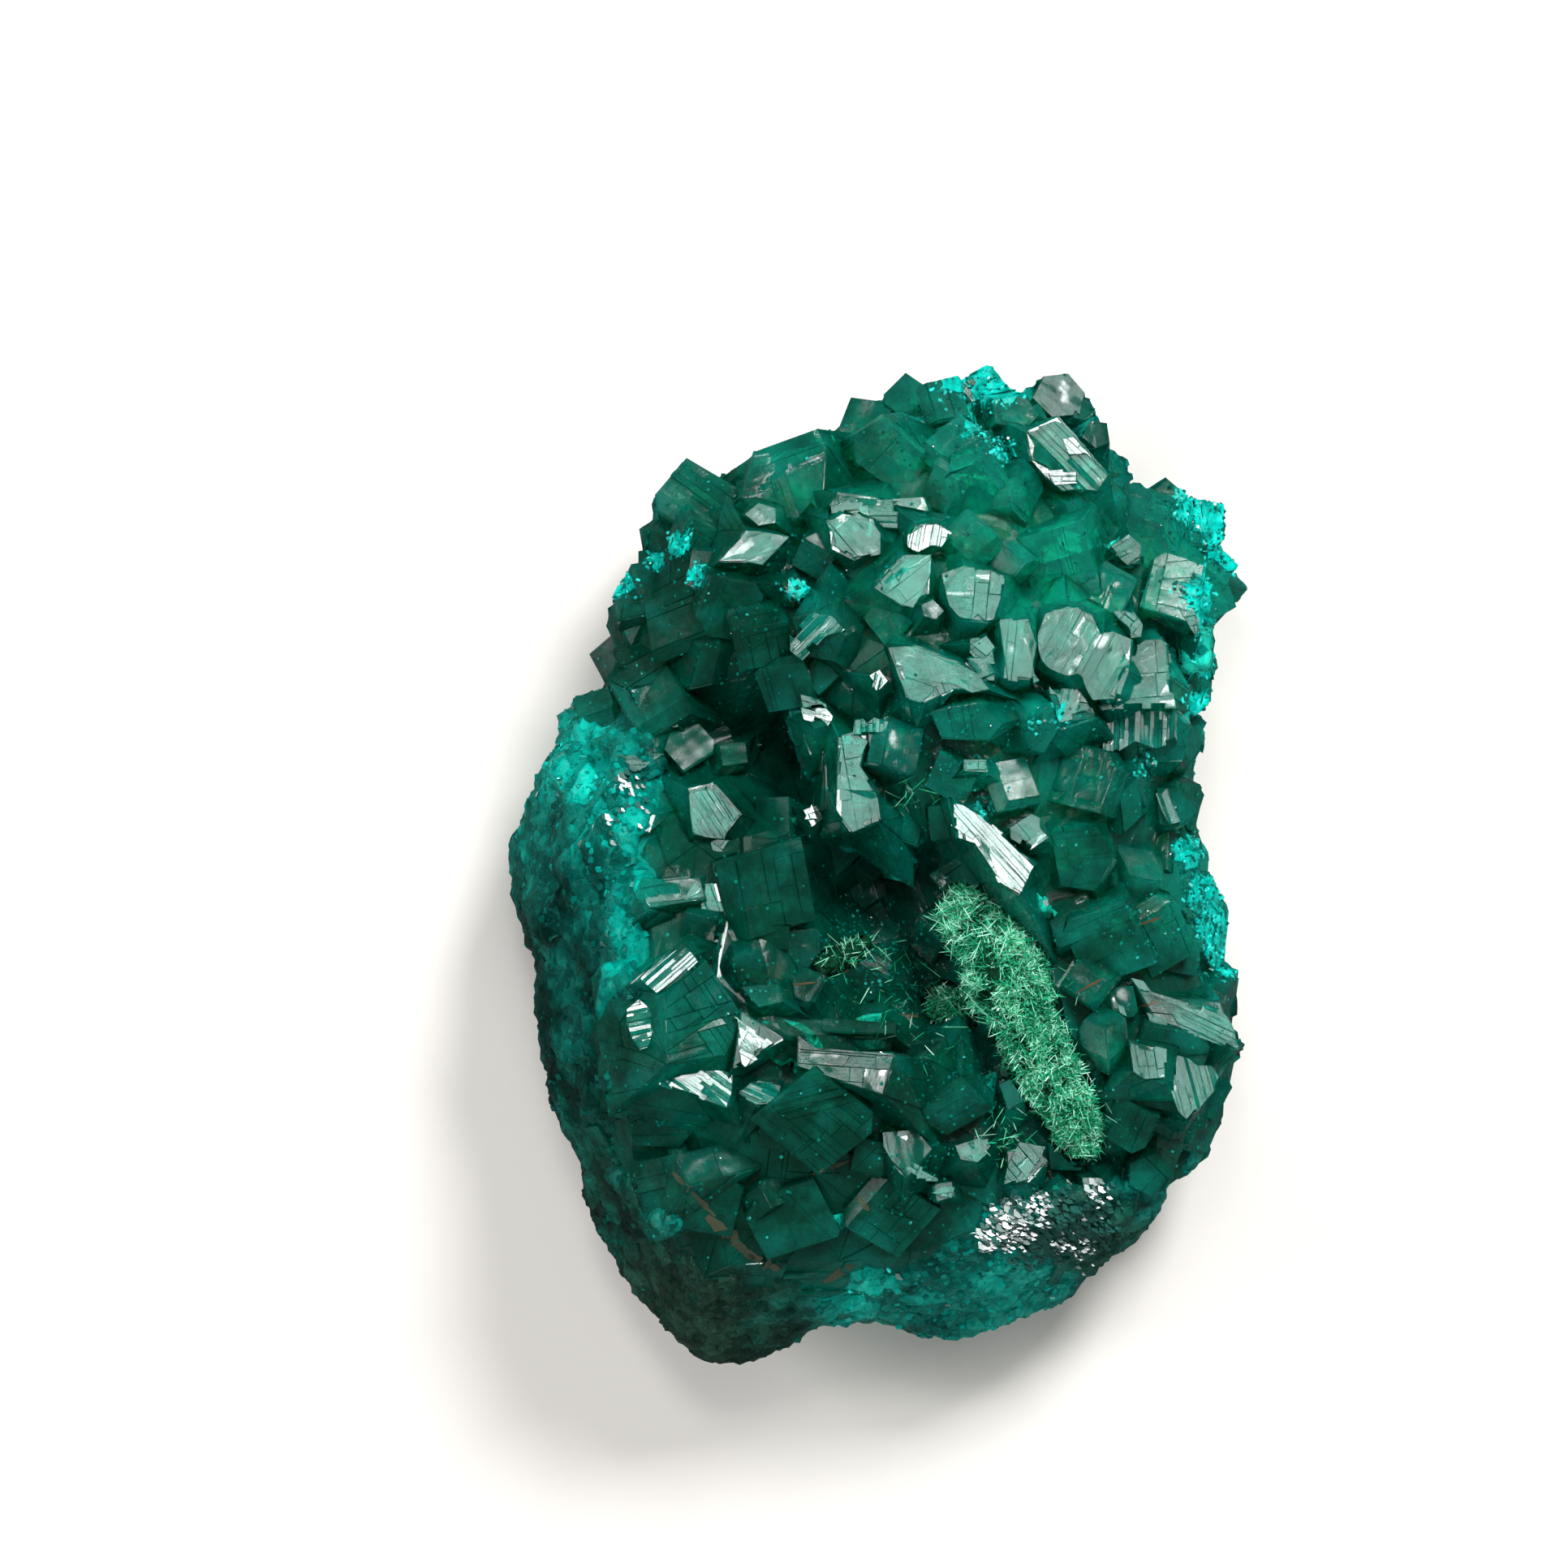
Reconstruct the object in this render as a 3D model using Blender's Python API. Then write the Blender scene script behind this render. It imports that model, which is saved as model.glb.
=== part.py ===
"""A hand specimen of dioptase: emerald crystals grown together on a massive base of the same mineral,
with malachite needles felted in the clefts between them.

The specimen lies on its broken, flat back with the crystals up. X runs to the right and Y away from
someone who looks down on it, and Z is up from the surface that it rests on.
"""

import math
import random

import bmesh
import bpy
from mathutils import Matrix, Vector, noise

MM = 0.001

# The widest outline of the massive base, anticlockwise from +X
RIM_MM = (
    (11.0, 0.5), (11.2, 3.5), (11.3, 6.5), (11.7, 9.0), (12.3, 10.8), (11.7, 12.3), (10.4, 13.2),
    (8.6, 13.4), (7.5, 15.2), (6.4, 16.6), (4.5, 16.8), (2.5, 17.2), (0.5, 16.4), (-1.6, 15.2),
    (-4.4, 14.4), (-6.6, 13.2), (-7.7, 11.6), (-9.0, 9.6), (-9.5, 7.2), (-10.5, 5.4), (-12.1, 3.0),
    (-13.2, 1.0), (-13.3, -0.6), (-12.6, -3.0), (-11.9, -5.4), (-11.8, -7.6), (-10.6, -10.2),
    (-10.4, -12.2), (-8.7, -15.0), (-8.0, -17.0), (-6.8, -18.2), (-4.2, -17.6), (-2.4, -16.6),
    (0.6, -16.3), (3.6, -16.8), (6.4, -15.8), (8.4, -14.3), (9.8, -12.3), (10.9, -10.6),
    (11.6, -9.2), (12.4, -7.6), (12.2, -5.2), (11.9, -3.0), (11.6, -1.0),
)
RIM_HEIGHT_MM = 5.2
CROWN_MM = 13.6
BELLY_MM = 7.4
# The size of the base's lumps and how far they stand out, and the same for the broader ones under them
ROUGHNESS_MM = 0.35
GRAIN_MM = 2.6
BROAD_GRAIN_MM = 5.72
BROAD_ROUGHNESS_MM = 0.455
GRAIN_START = (7, 3, 5)
DOME_POWER = 2.6
# The share of the base's faces that is kept where its lumps are made into broken faces
BASE_SUBDIVISIONS = 5
BASE_DETAIL = 0.24

# Where the base broke from its vein: which way each break faces, its tilt from straight up in degrees,
# and how deep it bites into the lump in millimetres
BREAKS = (
    (172, 70, 0.7), (190, 88, 0.2), (207, 64, 0.9), (222, 86, 0.5), (240, 66, 0.5), (234, 100, 0.3),
    (258, 84, 0.2), (276, 58, 1.1), (288, 92, 0.3), (303, 66, 0.9), (318, 96, 0.4), (342, 108, 1.0),
    (8, 98, 0.7), (38, 110, 1.2), (66, 100, 0.8), (98, 108, 0.9), (128, 102, 0.9), (152, 112, 1.1),
    (180, 126, 1.2), (215, 132, 1.3), (250, 128, 1.2), (285, 128, 1.3), (320, 136, 1.3), (20, 132, 1.2),
    (80, 135, 1.4), (135, 134, 1.4),
)

# Rises and hollows of the crystal side: x, y, radius, height, in millimetres
SWELLS_MM = (
    (-3.2, 4.1, 2.0, -5.0),
    (-6.4, 5.0, 2.2, -2.6),
    (-0.3, -0.6, 2.4, -4.4),
    (1.2, -3.8, 2.2, -3.2),
    (3.0, -5.8, 1.8, -1.6),
    (-7.0, -4.5, 4.5, 2.2),
    (-2.0, -8.8, 3.5, 1.0),
    (10.5, -6.8, 3.0, 1.6),
    (3.5, 8.5, 5.5, 1.2),
)

# Dioptase is trigonal: a six-sided prism, closed at each end by three rhombohedral faces
RHOMB_TILT = math.radians(51.0)
PRISM_TURNS = tuple(math.radians(60 * k) for k in range(6))
TIP_TURNS = tuple(math.radians(30 + 120 * k) for k in range(3))
TAIL_TURNS = tuple(math.radians(90 + 120 * k) for k in range(3))
UNEVENNESS = 0.2
# From the middle of a side face to the two tips, as a share of the width
SIDE_TO_TIPS = 0.8

SIDE, TIP = "side", "tip"

# Crystal faces that catch the light, as the outline that shows from above. First how far and which way
# the face leans in degrees, and the rise of its middle over the base
FACES = (
    # upper left
    (16, 110, 2.6, (
        (-4.9, 13.3), (-4.4, 15.0), (-2.2, 15.8), (-1.9, 15.2), (-2.0, 13.6), (-2.9, 12.6), (-3.9, 12.5),
    )),
    (6, 80, 2.2, ((-4.8, 12.7), (-4.3, 13.1), (-3.7, 12.9), (-3.7, 12.4), (-4.3, 12.3))),
    (8, 85, 1.5, ((-5.7, 11.0), (-4.7, 12.1), (-3.2, 11.9), (-4.1, 11.0))),
    (6, 80, 1.7, (
        (-1.8, 12.4), (-1.3, 12.7), (-0.2, 12.5), (0.0, 11.8), (-0.1, 11.4), (-0.9, 11.0), (-1.7, 11.4),
    )),
    (9, 85, 1.3, (
        (-1.8, 13.0), (-1.5, 13.4), (0.0, 13.2), (1.6, 13.3), (1.8, 12.8), (0.4, 12.3), (-1.3, 12.6),
    )),
    (12, 100, 1.8, ((1.0, 11.7), (1.3, 12.3), (2.0, 12.3), (2.2, 11.9), (1.5, 11.4))),
    (7, 75, 1.5, ((-0.2, 10.0), (0.9, 11.2), (1.8, 11.2), (1.7, 9.8), (0.8, 9.35))),
    (8, 80, 1.1, ((1.5, 9.4), (1.9, 9.6), (2.3, 9.2), (2.0, 8.9), (1.6, 9.0))),
    (26, 225, 1.3, ((-0.9, 15.6), (0.2, 16.2), (1.6, 14.9), (1.2, 13.9), (0.3, 13.8), (-0.8, 14.6))),
    (24, 230, 1.3, ((-3.1, 8.9), (-2.2, 9.2), (-1.2, 8.3), (-1.6, 7.4), (-2.7, 7.6))),
    (14, 60, 1.2, ((-3.5, 10.2), (-3.0, 10.5), (-2.6, 10.0), (-3.0, 9.6))),
    # upper right
    (6, 80, 3.0, ((5.6, 17.0), (6.0, 17.8), (6.9, 17.9), (7.5, 17.2), (7.3, 16.4), (6.3, 16.3))),
    (8, 60, 3.0, ((7.4, 15.6), (7.7, 16.2), (8.3, 16.1), (8.4, 15.4), (7.9, 15.2))),
    (12, 50, 3.0, ((7.2, 16.9), (7.7, 16.9), (7.9, 16.5), (7.5, 16.2), (7.1, 16.3))),
    (14, 75, 2.6, ((4.1, 16.9), (5.3, 17.0), (5.8, 16.3), (5.3, 15.8), (4.2, 16.0))),
    (9, 100, 2.4, (
        (5.3, 15.7), (6.4, 16.2), (7.2, 15.3), (8.2, 14.1), (7.3, 13.5), (6.0, 14.0), (5.5, 14.6),
    )),
    (20, 320, 1.5, ((6.7, 13.1), (7.4, 13.4), (7.9, 12.9), (7.4, 12.4), (6.8, 12.6))),
    (10, 70, 2.6, ((9.6, 13.3), (10.5, 14.1), (11.2, 13.5), (10.6, 12.6), (9.9, 12.6))),
    (8, 60, 1.4, ((8.5, 11.2), (9.0, 12.0), (9.5, 11.2))),
    (8, 70, 1.8, ((10.7, 8.9), (11.3, 9.4), (11.6, 8.4))),
    (9, 82, 1.4, ((2.2, 10.5), (3.0, 10.8), (4.4, 10.4), (4.1, 9.1), (3.9, 8.8), (3.0, 8.9), (2.4, 9.6))),
    (6, 80, 1.5, ((4.25, 8.8), (5.3, 8.9), (5.6, 8.0), (5.35, 6.7), (4.4, 6.8), (4.5, 7.8))),
    (6, 85, 1.8, (
        (5.6, 8.3), (5.9, 9.1), (6.7, 9.35), (7.6, 9.0), (7.9, 8.3), (7.5, 7.4), (6.9, 6.9), (5.8, 7.5),
    )),
    (6, 85, 1.6, ((7.7, 8.1), (8.3, 8.5), (9.0, 8.2), (8.9, 7.0), (8.6, 6.2), (8.0, 6.4), (7.6, 7.2))),
    (7, 85, 1.5, ((9.0, 7.9), (9.7, 8.2), (10.3, 8.1), (10.4, 6.9), (10.0, 5.9), (8.9, 5.9), (8.8, 6.9))),
    (9, 60, 1.3, ((8.7, 9.0), (9.1, 9.2), (9.4, 8.8), (9.0, 8.5))),
    (9, 60, 1.2, ((5.2, 9.3), (5.6, 9.6), (5.95, 9.3), (5.6, 8.9))),
    # middle
    (6, 80, 1.5, ((0.4, 7.9), (1.2, 7.95), (2.9, 7.3), (3.9, 6.4), (2.6, 6.4), (1.6, 5.9), (1.05, 6.1))),
    (8, 80, 1.3, ((3.3, 8.0), (3.8, 8.3), (4.1, 7.9), (3.8, 7.6))),
    (7, 80, 1.3, ((3.1, 7.5), (3.8, 7.5), (4.1, 7.0), (3.6, 6.8))),
    (14, 250, 1.1, ((1.8, 5.6), (3.6, 5.9), (4.4, 5.2), (3.9, 4.6), (2.2, 4.7))),
    (16, 100, 2.6, ((-2.8, 5.6), (-2.1, 5.8), (-1.7, 5.2), (-2.3, 5.0))),
    (6, 90, 2.2, (
        (-1.45, 4.7), (-0.4, 4.9), (-0.7, 3.6), (-0.1, 2.6), (0.0, 1.7), (-1.0, 1.35), (-1.55, 2.1),
    )),
    (8, 90, 1.2, ((-0.4, 5.1), (0.1, 5.2), (0.1, 4.5), (-0.35, 4.4))),
    (10, 100, 1.0, ((-0.35, 6.9), (0.0, 7.1), (0.3, 6.7), (0.0, 6.4))),
    (6, 85, 1.1, ((3.0, 3.9), (3.8, 3.9), (3.85, 3.45), (3.0, 3.5))),
    (10, 100, 1.7, (
        (2.8, 2.3), (3.6, 1.9), (4.85, 0.6), (5.5, 0.1), (5.0, -0.9), (4.3, -0.45), (3.4, 0.9),
        (2.8, 1.1),
    )),
    (28, 330, 1.2, ((5.4, 4.3), (5.5, 5.4), (6.1, 5.9), (6.4, 5.0), (5.9, 4.2))),
    (11, 60, 1.2, ((6.0, 6.4), (7.1, 6.4), (7.7, 5.4), (6.4, 5.2))),
    (22, 270, 1.4, ((7.9, 5.7), (10.3, 5.8), (11.2, 5.0), (10.9, 3.9), (9.6, 3.8), (8.0, 4.1))),
    (12, 340, 1.5, ((10.0, 2.9), (10.8, 2.9), (11.5, 2.0), (10.7, 1.4), (10.1, 1.6))),
    (11, 60, 1.1, ((4.9, 1.5), (5.9, 1.6), (6.1, 1.0), (5.3, 0.8))),
    (13, 300, 1.2, ((6.1, 1.2), (7.8, 1.4), (8.4, 0.4), (7.7, -0.8), (6.5, -0.6))),
    (9, 120, 1.6, ((-2.7, 2.1), (-2.2, 2.3), (-2.0, 1.8), (-2.4, 1.5))),
    # right
    (9, 80, 2.0, ((9.1, -4.0), (10.0, -4.6), (12.2, -4.8), (12.75, -6.2), (10.8, -5.7), (9.9, -5.4))),
    (7, 85, 1.9, ((8.9, -6.1), (10.2, -6.5), (10.2, -7.6), (9.1, -7.2))),
    (8, 80, 2.0, ((10.4, -6.5), (12.1, -7.2), (11.7, -8.3), (11.0, -9.0), (10.4, -8.0))),
    (30, 330, 1.8, ((11.4, -8.7), (12.4, -8.2), (12.9, -8.0), (12.2, -9.2))),
    (14, 310, 1.6, ((9.0, -10.6), (10.0, -10.2), (10.6, -11.0), (9.8, -11.8), (9.0, -11.4))),
    (8, 90, 1.2, ((7.3, -11.1), (7.9, -11.1), (8.0, -11.6), (7.4, -11.7))),
    (13, 60, 0.9, ((4.3, -7.7), (5.2, -7.3), (5.3, -8.2), (4.6, -8.6))),
    # lower middle
    (30, 280, 1.3, ((1.2, -8.8), (2.9, -7.4), (4.0, -8.6), (2.4, -9.5))),
    (9, 80, 1.8, ((-2.9, -5.9), (-2.3, -6.4), (0.5, -6.6), (0.1, -8.0), (-2.9, -7.0))),
    (18, 90, 1.0, ((-2.3, -5.3), (0.6, -5.5), (0.6, -5.9), (-2.0, -5.8))),
    (9, 60, 1.1, ((0.2, -9.4), (1.3, -9.3), (1.9, -10.0), (1.0, -11.0), (0.4, -10.4))),
    (6, 85, 1.1, ((2.7, -9.9), (3.6, -9.6), (4.0, -9.9), (3.5, -10.5), (2.9, -10.4))),
    (7, 80, 0.9, ((1.9, -11.3), (2.6, -11.2), (2.7, -11.7), (2.1, -11.9))),
    (8, 75, 1.1, ((4.6, -10.1), (5.4, -9.8), (6.0, -10.4), (5.3, -11.2), (4.6, -10.9))),
    # lower left
    (12, 60, 1.0, ((-4.9, -4.2), (-3.6, -4.1), (-3.4, -4.7), (-4.3, -4.9))),
    (12, 125, 1.9, ((-8.6, -4.0), (-7.1, -2.6), (-6.5, -3.0), (-6.9, -4.1), (-7.6, -4.4))),
    (13, 140, 1.9, ((-9.3, -4.9), (-8.5, -4.5), (-7.9, -5.6), (-8.3, -6.6), (-9.1, -6.1))),
    (19, 20, 1.8, ((-7.6, -4.5), (-6.2, -3.2), (-4.9, -5.2), (-5.6, -6.6), (-7.5, -6.9))),
    (6, 85, 1.6, ((-4.9, -5.1), (-3.45, -6.0), (-5.2, -7.0))),
    (10, 100, 1.6, ((-7.8, -7.5), (-5.7, -6.75), (-5.25, -7.4), (-5.4, -8.4))),
    (8, 80, 1.1, ((-5.0, -7.9), (-4.3, -7.5), (-3.5, -7.7), (-3.6, -8.3), (-4.4, -8.4))),
    (24, 80, 1.0, ((-7.2, -10.2), (-5.0, -9.7), (-4.2, -10.6), (-6.8, -11.3))),
    (7, 350, 1.2, ((-9.2, 4.2), (-8.0, 4.3), (-7.7, 3.6), (-8.9, 3.4))),
    (7, 80, 1.3, ((-6.8, 2.8), (-5.9, 3.0), (-4.95, 1.9), (-5.4, 1.3), (-6.6, 1.2))),
    (10, 70, 1.1, ((-8.5, -0.5), (-6.4, -0.3), (-6.2, -1.1), (-8.2, -1.4))),
    (10, 100, 1.0, ((-9.5, 3.0), (-8.9, 3.1), (-8.7, 2.5), (-9.3, 2.4))),
    (9, 100, 1.0, ((-8.6, 2.1), (-8.0, 1.9), (-8.2, 1.3), (-8.8, 1.5))),
    (9, 120, 1.2, ((-8.9, 6.4), (-8.2, 6.6), (-8.0, 6.0), (-8.6, 5.7))),
    (8, 85, 1.3, ((-7.9, 5.6), (-7.3, 5.6), (-7.2, 5.1), (-7.8, 5.0))),
    (14, 60, 1.4, ((-5.7, 4.4), (-4.8, 4.5), (-4.7, 3.8), (-5.6, 3.7))),
)

# Whole crystals between those faces: x, y of the face that leads, its rise over the base, the crystal's
# width and length, which face leads, the way its long axis points, how far and which way the face leans
CRYSTALS = (
    # upper left
    (-6.6, 13.4, 3.4, 3.1, 3.8, TIP, 100, 22, 110),
    (-8.2, 11.0, 2.2, 2.1, 2.6, TIP, 140, 22, 140),
    (-6.6, 11.9, 1.6, 2.2, 2.6, TIP, 200, 20, 270),
    (-8.9, 9.5, 1.8, 2.6, 2.4, SIDE, 60, 34, 165),
    (-9.6, 7.7, 1.6, 2.3, 2.8, TIP, 170, 28, 175),
    (-7.2, 9.2, 1.1, 2.8, 3.4, TIP, 150, 28, 150),
    (-5.3, 9.3, 1.0, 2.8, 3.4, TIP, 300, 24, 300),
    (-6.2, 7.3, 0.8, 2.6, 1.8, SIDE, 20, 30, 250),
    (-4.0, 8.0, 0.8, 2.6, 3.0, TIP, 60, 30, 300),
    (-2.4, 11.2, 0.9, 2.0, 2.4, TIP, 200, 26, 230),
    (-3.5, 6.6, 1.0, 2.8, 3.2, TIP, 240, 28, 240),
    # top
    (-0.6, 16.2, 2.2, 2.2, 2.6, TIP, 120, 30, 120),
    (0.9, 17.1, 2.2, 2.0, 2.4, TIP, 95, 25, 95),
    (2.5, 16.9, 2.3, 2.4, 2.6, TIP, 60, 22, 90),
    (3.9, 17.3, 2.4, 1.9, 2.2, TIP, 80, 18, 70),
    (2.9, 15.3, 1.4, 2.8, 3.2, TIP, 90, 24, 90),
    (3.6, 13.6, 1.0, 3.2, 3.6, TIP, 250, 26, 260),
    (2.2, 13.6, 0.8, 2.2, 2.4, TIP, 200, 25, 200),
    (5.0, 12.8, 0.8, 2.2, 1.2, SIDE, 80, 28, 300),
    # upper middle
    (3.2, 11.9, 1.0, 2.4, 2.8, TIP, 90, 18, 100),
    (6.5, 10.8, 1.4, 3.8, 4.6, TIP, 330, 18, 255),
    (8.3, 10.2, 1.0, 2.4, 2.8, TIP, 20, 24, 40),
    (0.2, 8.9, 0.8, 2.2, 2.4, TIP, 180, 28, 200),
    # upper right
    (11.9, 12.4, 2.2, 2.1, 2.4, TIP, 40, 25, 40),
    (12.5, 10.9, 2.2, 1.9, 2.3, TIP, 10, 28, 10),
    (12.3, 9.6, 2.0, 2.0, 2.3, TIP, 340, 28, 345),
    (10.5, 10.3, 1.6, 2.8, 3.2, TIP, 30, 16, 60),
    (11.3, 7.1, 1.6, 2.4, 2.2, SIDE, 85, 26, 10),
    # middle
    (11.2, 4.9, 1.3, 2.0, 2.6, TIP, 10, 28, 10),
    (0.9, 4.2, 1.0, 2.5, 2.8, TIP, 30, 22, 30),
    (2.6, 3.2, 0.5, 2.4, 2.6, TIP, 200, 24, 230),
    (4.9, 3.2, 0.8, 2.8, 3.0, TIP, 60, 24, 60),
    (7.2, 3.2, 0.9, 2.8, 3.2, TIP, 120, 25, 150),
    (9.0, 2.3, 0.9, 2.6, 1.6, SIDE, 40, 26, 330),
    (-2.3, 3.9, 1.8, 1.8, 1.8, SIDE, 95, 32, 185),
    (0.8, 1.6, 0.8, 2.2, 2.4, TIP, 120, 30, 20),
    # right
    (7.9, -2.6, 1.1, 3.4, 3.8, TIP, 250, 24, 260),
    (10.3, -2.3, 1.3, 3.2, 3.6, TIP, 340, 22, 320),
    (11.5, -1.1, 1.4, 2.0, 2.4, TIP, 10, 30, 10),
    (11.1, 0.4, 1.3, 2.0, 2.3, TIP, 30, 30, 30),
    (9.4, 0.2, 0.9, 2.2, 1.4, SIDE, 110, 28, 60),
    (10.5, -7.0, 1.3, 4.2, 4.6, TIP, 300, 20, 290),
    (8.6, -9.0, 0.8, 2.6, 3.0, TIP, 200, 26, 220),
    (8.2, -12.4, 1.0, 2.0, 2.2, TIP, 290, 22, 290),
    (7.6, -6.0, 0.9, 1.8, 1.2, SIDE, 100, 26, 170),
    (7.3, -4.1, 0.8, 2.0, 2.4, TIP, 100, 26, 200),
    (4.7, -6.9, 0.5, 1.8, 2.0, TIP, 40, 24, 200),
    # lower middle
    (2.2, -6.9, 0.8, 2.4, 2.6, TIP, 240, 24, 260),
    (-1.9, -9.0, 1.2, 4.6, 5.0, TIP, 270, 26, 275),
    (0.2, -12.6, 0.9, 3.8, 4.2, TIP, 280, 26, 285),
    (6.6, -11.9, 0.8, 1.8, 2.0, TIP, 270, 22, 270),
    # lower left
    (-7.8, -9.0, 0.9, 3.8, 4.2, TIP, 230, 28, 235),
    (-5.8, -11.9, 0.8, 3.6, 4.0, TIP, 300, 28, 260),
    (-3.1, -12.7, 0.8, 3.2, 3.8, TIP, 250, 28, 275),
    (-3.7, -0.7, 1.3, 4.4, 5.0, TIP, 330, 20, 340),
    (-9.2, -2.3, 0.9, 2.6, 2.6, SIDE, 80, 28, 180),
    (-9.9, 0.8, 0.8, 2.4, 2.8, TIP, 170, 26, 170),
    (-7.0, 4.6, 1.0, 2.4, 2.8, TIP, 80, 26, 60),
    (-6.3, -2.1, 0.4, 2.0, 2.4, TIP, 120, 28, 240),
    (-4.6, -3.6, 0.6, 1.8, 2.2, TIP, 60, 24, 300),
    (-10.7, 5.2, 1.6, 2.2, 2.6, TIP, 160, 26, 160),
    (-11.2, 3.4, 1.3, 2.0, 2.4, TIP, 165, 28, 160),
)
# How deep a shown face's crystal goes and how much wider each unit of depth makes it, edge by edge
FACE_DEPTHS_MM = (1.6, 3.4)
FACE_FLARES = (0.58, 0.12, 0.9, 0.4)
# How far such a crystal's foot may reach, as a share of the base's own reach there
FACE_REACH = 0.99

# Seeded crystals: on the flanks from the first turn round to the last, and in the gaps on top
FLANK_SPAN_DEG = (-48, 158)
FLANK_COUNT = 36
FLANK_HEIGHTS_MM = (2.6, 10.5)
FLANK_WIDTHS_MM = (2.0, 3.6)
# How far a flank's crystal stands out, as a share of its width
FLANK_RISE = 0.16
# A flank crystal faces straight out at the widest height, this much nearer to straight up at the crown
# and this much downwards at the foot, give or take the spread, and turned sideways by up to the last
FLANK_RAISED_DEG = 70
FLANK_LOWERED_DEG = 25
FLANK_SPREAD_DEG = (-25, 12)
FLANK_TURN_DEG = 25
# The share of them that shows a side face, its length by width, and the others' lengths by width
FLANK_SIDES = 0.3
FLANK_SIDE_LENGTH = 0.9
FLANK_TIP_LENGTHS = (1.0, 1.35)
WALL_SPAN_DEG = (158, 240)
WALL_COUNT = 6
WALL_HEIGHTS_MM = (9.0, 12.5)
WALL_WIDTHS_MM = (1.2, 2.2)
FILL_STEP_MM = 2.2
FILL_CLEARANCE_MM = 1.1
FILL_WIDTHS_MM = (1.3, 2.3)
FILL_RISES_MM = (0.2, 0.7)
FILL_LEANS_DEG = (12, 40)
FILL_LENGTH = 1.1
# How far a filling crystal strays from its place, as a share of the step, and how near to the rim
FILL_STRAY = 0.35
FILL_REACH = 0.9
# The massive mineral shows bare left of this x, and below this y
BARE_LEFT_MM = -9.6
BARE_BELOW_MM = -12.6
SEED = 27

# Malachite: the middle line of each lump as x, y, height over the base, half width, in millimetres
BAND_MM = (
    (2.6, -1.2, 0.3, 0.7), (3.6, -2.2, 0.5, 1.3), (4.5, -3.8, 0.6, 1.45), (5.2, -5.3, 0.7, 1.35),
    (6.0, -7.0, 0.6, 1.2), (6.8, -8.6, 0.4, 1.15), (7.5, -10.2, 0.0, 0.6),
)
PATCH_MM = ((2.1, -4.5, 0.1, 0.5), (2.7, -5.1, 0.2, 0.85), (3.1, -5.8, 0.0, 0.5))
TUFT_MM = ((-2.0, -3.6, 0.7, 0.25), (-1.2, -3.1, 0.8, 0.4), (-0.5, -2.7, 0.7, 0.2))
MALACHITE_LUMPS_MM = 0.22
MALACHITE_GRAIN_MM = 0.9
MERGE_MM = 0.0001
# The room between a seam of malachite and the crystals around it
GAP_MM = 0.3
GROUND_BLOCK_MM = 60.0
# The share of the joined solid's triangles that is kept: the rest are slivers in flat faces
CLUSTER_DETAIL = 0.86


def remove_everything():
    """Empty the scene, the material list aside."""
    for thing in list(bpy.data.objects):
        bpy.data.objects.remove(thing, do_unlink=True)


def new_collection(name):
    """A collection of its own in the scene."""
    collection = bpy.data.collections.new(name)
    bpy.context.scene.collection.children.link(collection)
    return collection


def mineral(name, colour, roughness):
    """A plain finish for one mineral."""
    material = bpy.data.materials.new(name)
    material.use_nodes = True
    shader = material.node_tree.nodes["Principled BSDF"]
    shader.inputs["Base Color"].default_value = (*colour, 1.0)
    shader.inputs["Roughness"].default_value = roughness
    shader.inputs["Metallic"].default_value = 0.0
    return material


def new_object(name, bm, collection, material):
    """Turn a bmesh into an object with one material."""
    mesh = bpy.data.meshes.new(name)
    bm.to_mesh(mesh)
    bm.free()
    mesh.materials.append(material)
    thing = bpy.data.objects.new(name, mesh)
    collection.objects.link(thing)
    return thing


def rim_radius(turn):
    """How far the base reaches from the middle in one direction, in metres."""
    ahead_x = math.cos(turn)
    ahead_y = math.sin(turn)
    for (x, y), (next_x, next_y) in zip(RIM_MM, RIM_MM[1:] + RIM_MM[:1]):
        before = ahead_x * y - ahead_y * x
        after = ahead_x * next_y - ahead_y * next_x
        if before <= 0 < after:
            share = before / (before - after)
            return math.hypot(x + (next_x - x) * share, y + (next_y - y) * share) * MM
    raise ValueError("the outline doesn't go round")


def swell(x, y):
    """The rises and hollows of the crystal side at one place, in metres."""
    total = 0.0
    for middle_x, middle_y, radius, height in SWELLS_MM:
        away = math.hypot(x / MM - middle_x, y / MM - middle_y) / radius
        total += height * math.exp(-away * away)
    return total * MM


def base_height(x, y):
    """The height of the base's upper side over the surface that it rests on."""
    reach = min(math.hypot(x, y) / rim_radius(math.atan2(y, x)), 1.0)
    dome = (1 - reach ** DOME_POWER) ** (1 / DOME_POWER)
    return (RIM_HEIGHT_MM + (CROWN_MM - RIM_HEIGHT_MM) * dome) * MM + swell(x, y) * dome


def base_point(direction):
    """The point of the base's surface that belongs to a direction from its middle."""
    turn = math.atan2(direction.y, direction.x)
    level = math.hypot(direction.x, direction.y) ** (2 / DOME_POWER)
    radius = rim_radius(turn) * level
    x = radius * math.cos(turn)
    y = radius * math.sin(turn)
    if direction.z >= 0:
        return Vector((x, y, base_height(x, y)))
    drop = abs(direction.z) ** (2 / DOME_POWER)
    return Vector((x, y, (RIM_HEIGHT_MM - BELLY_MM * drop) * MM))


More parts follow.
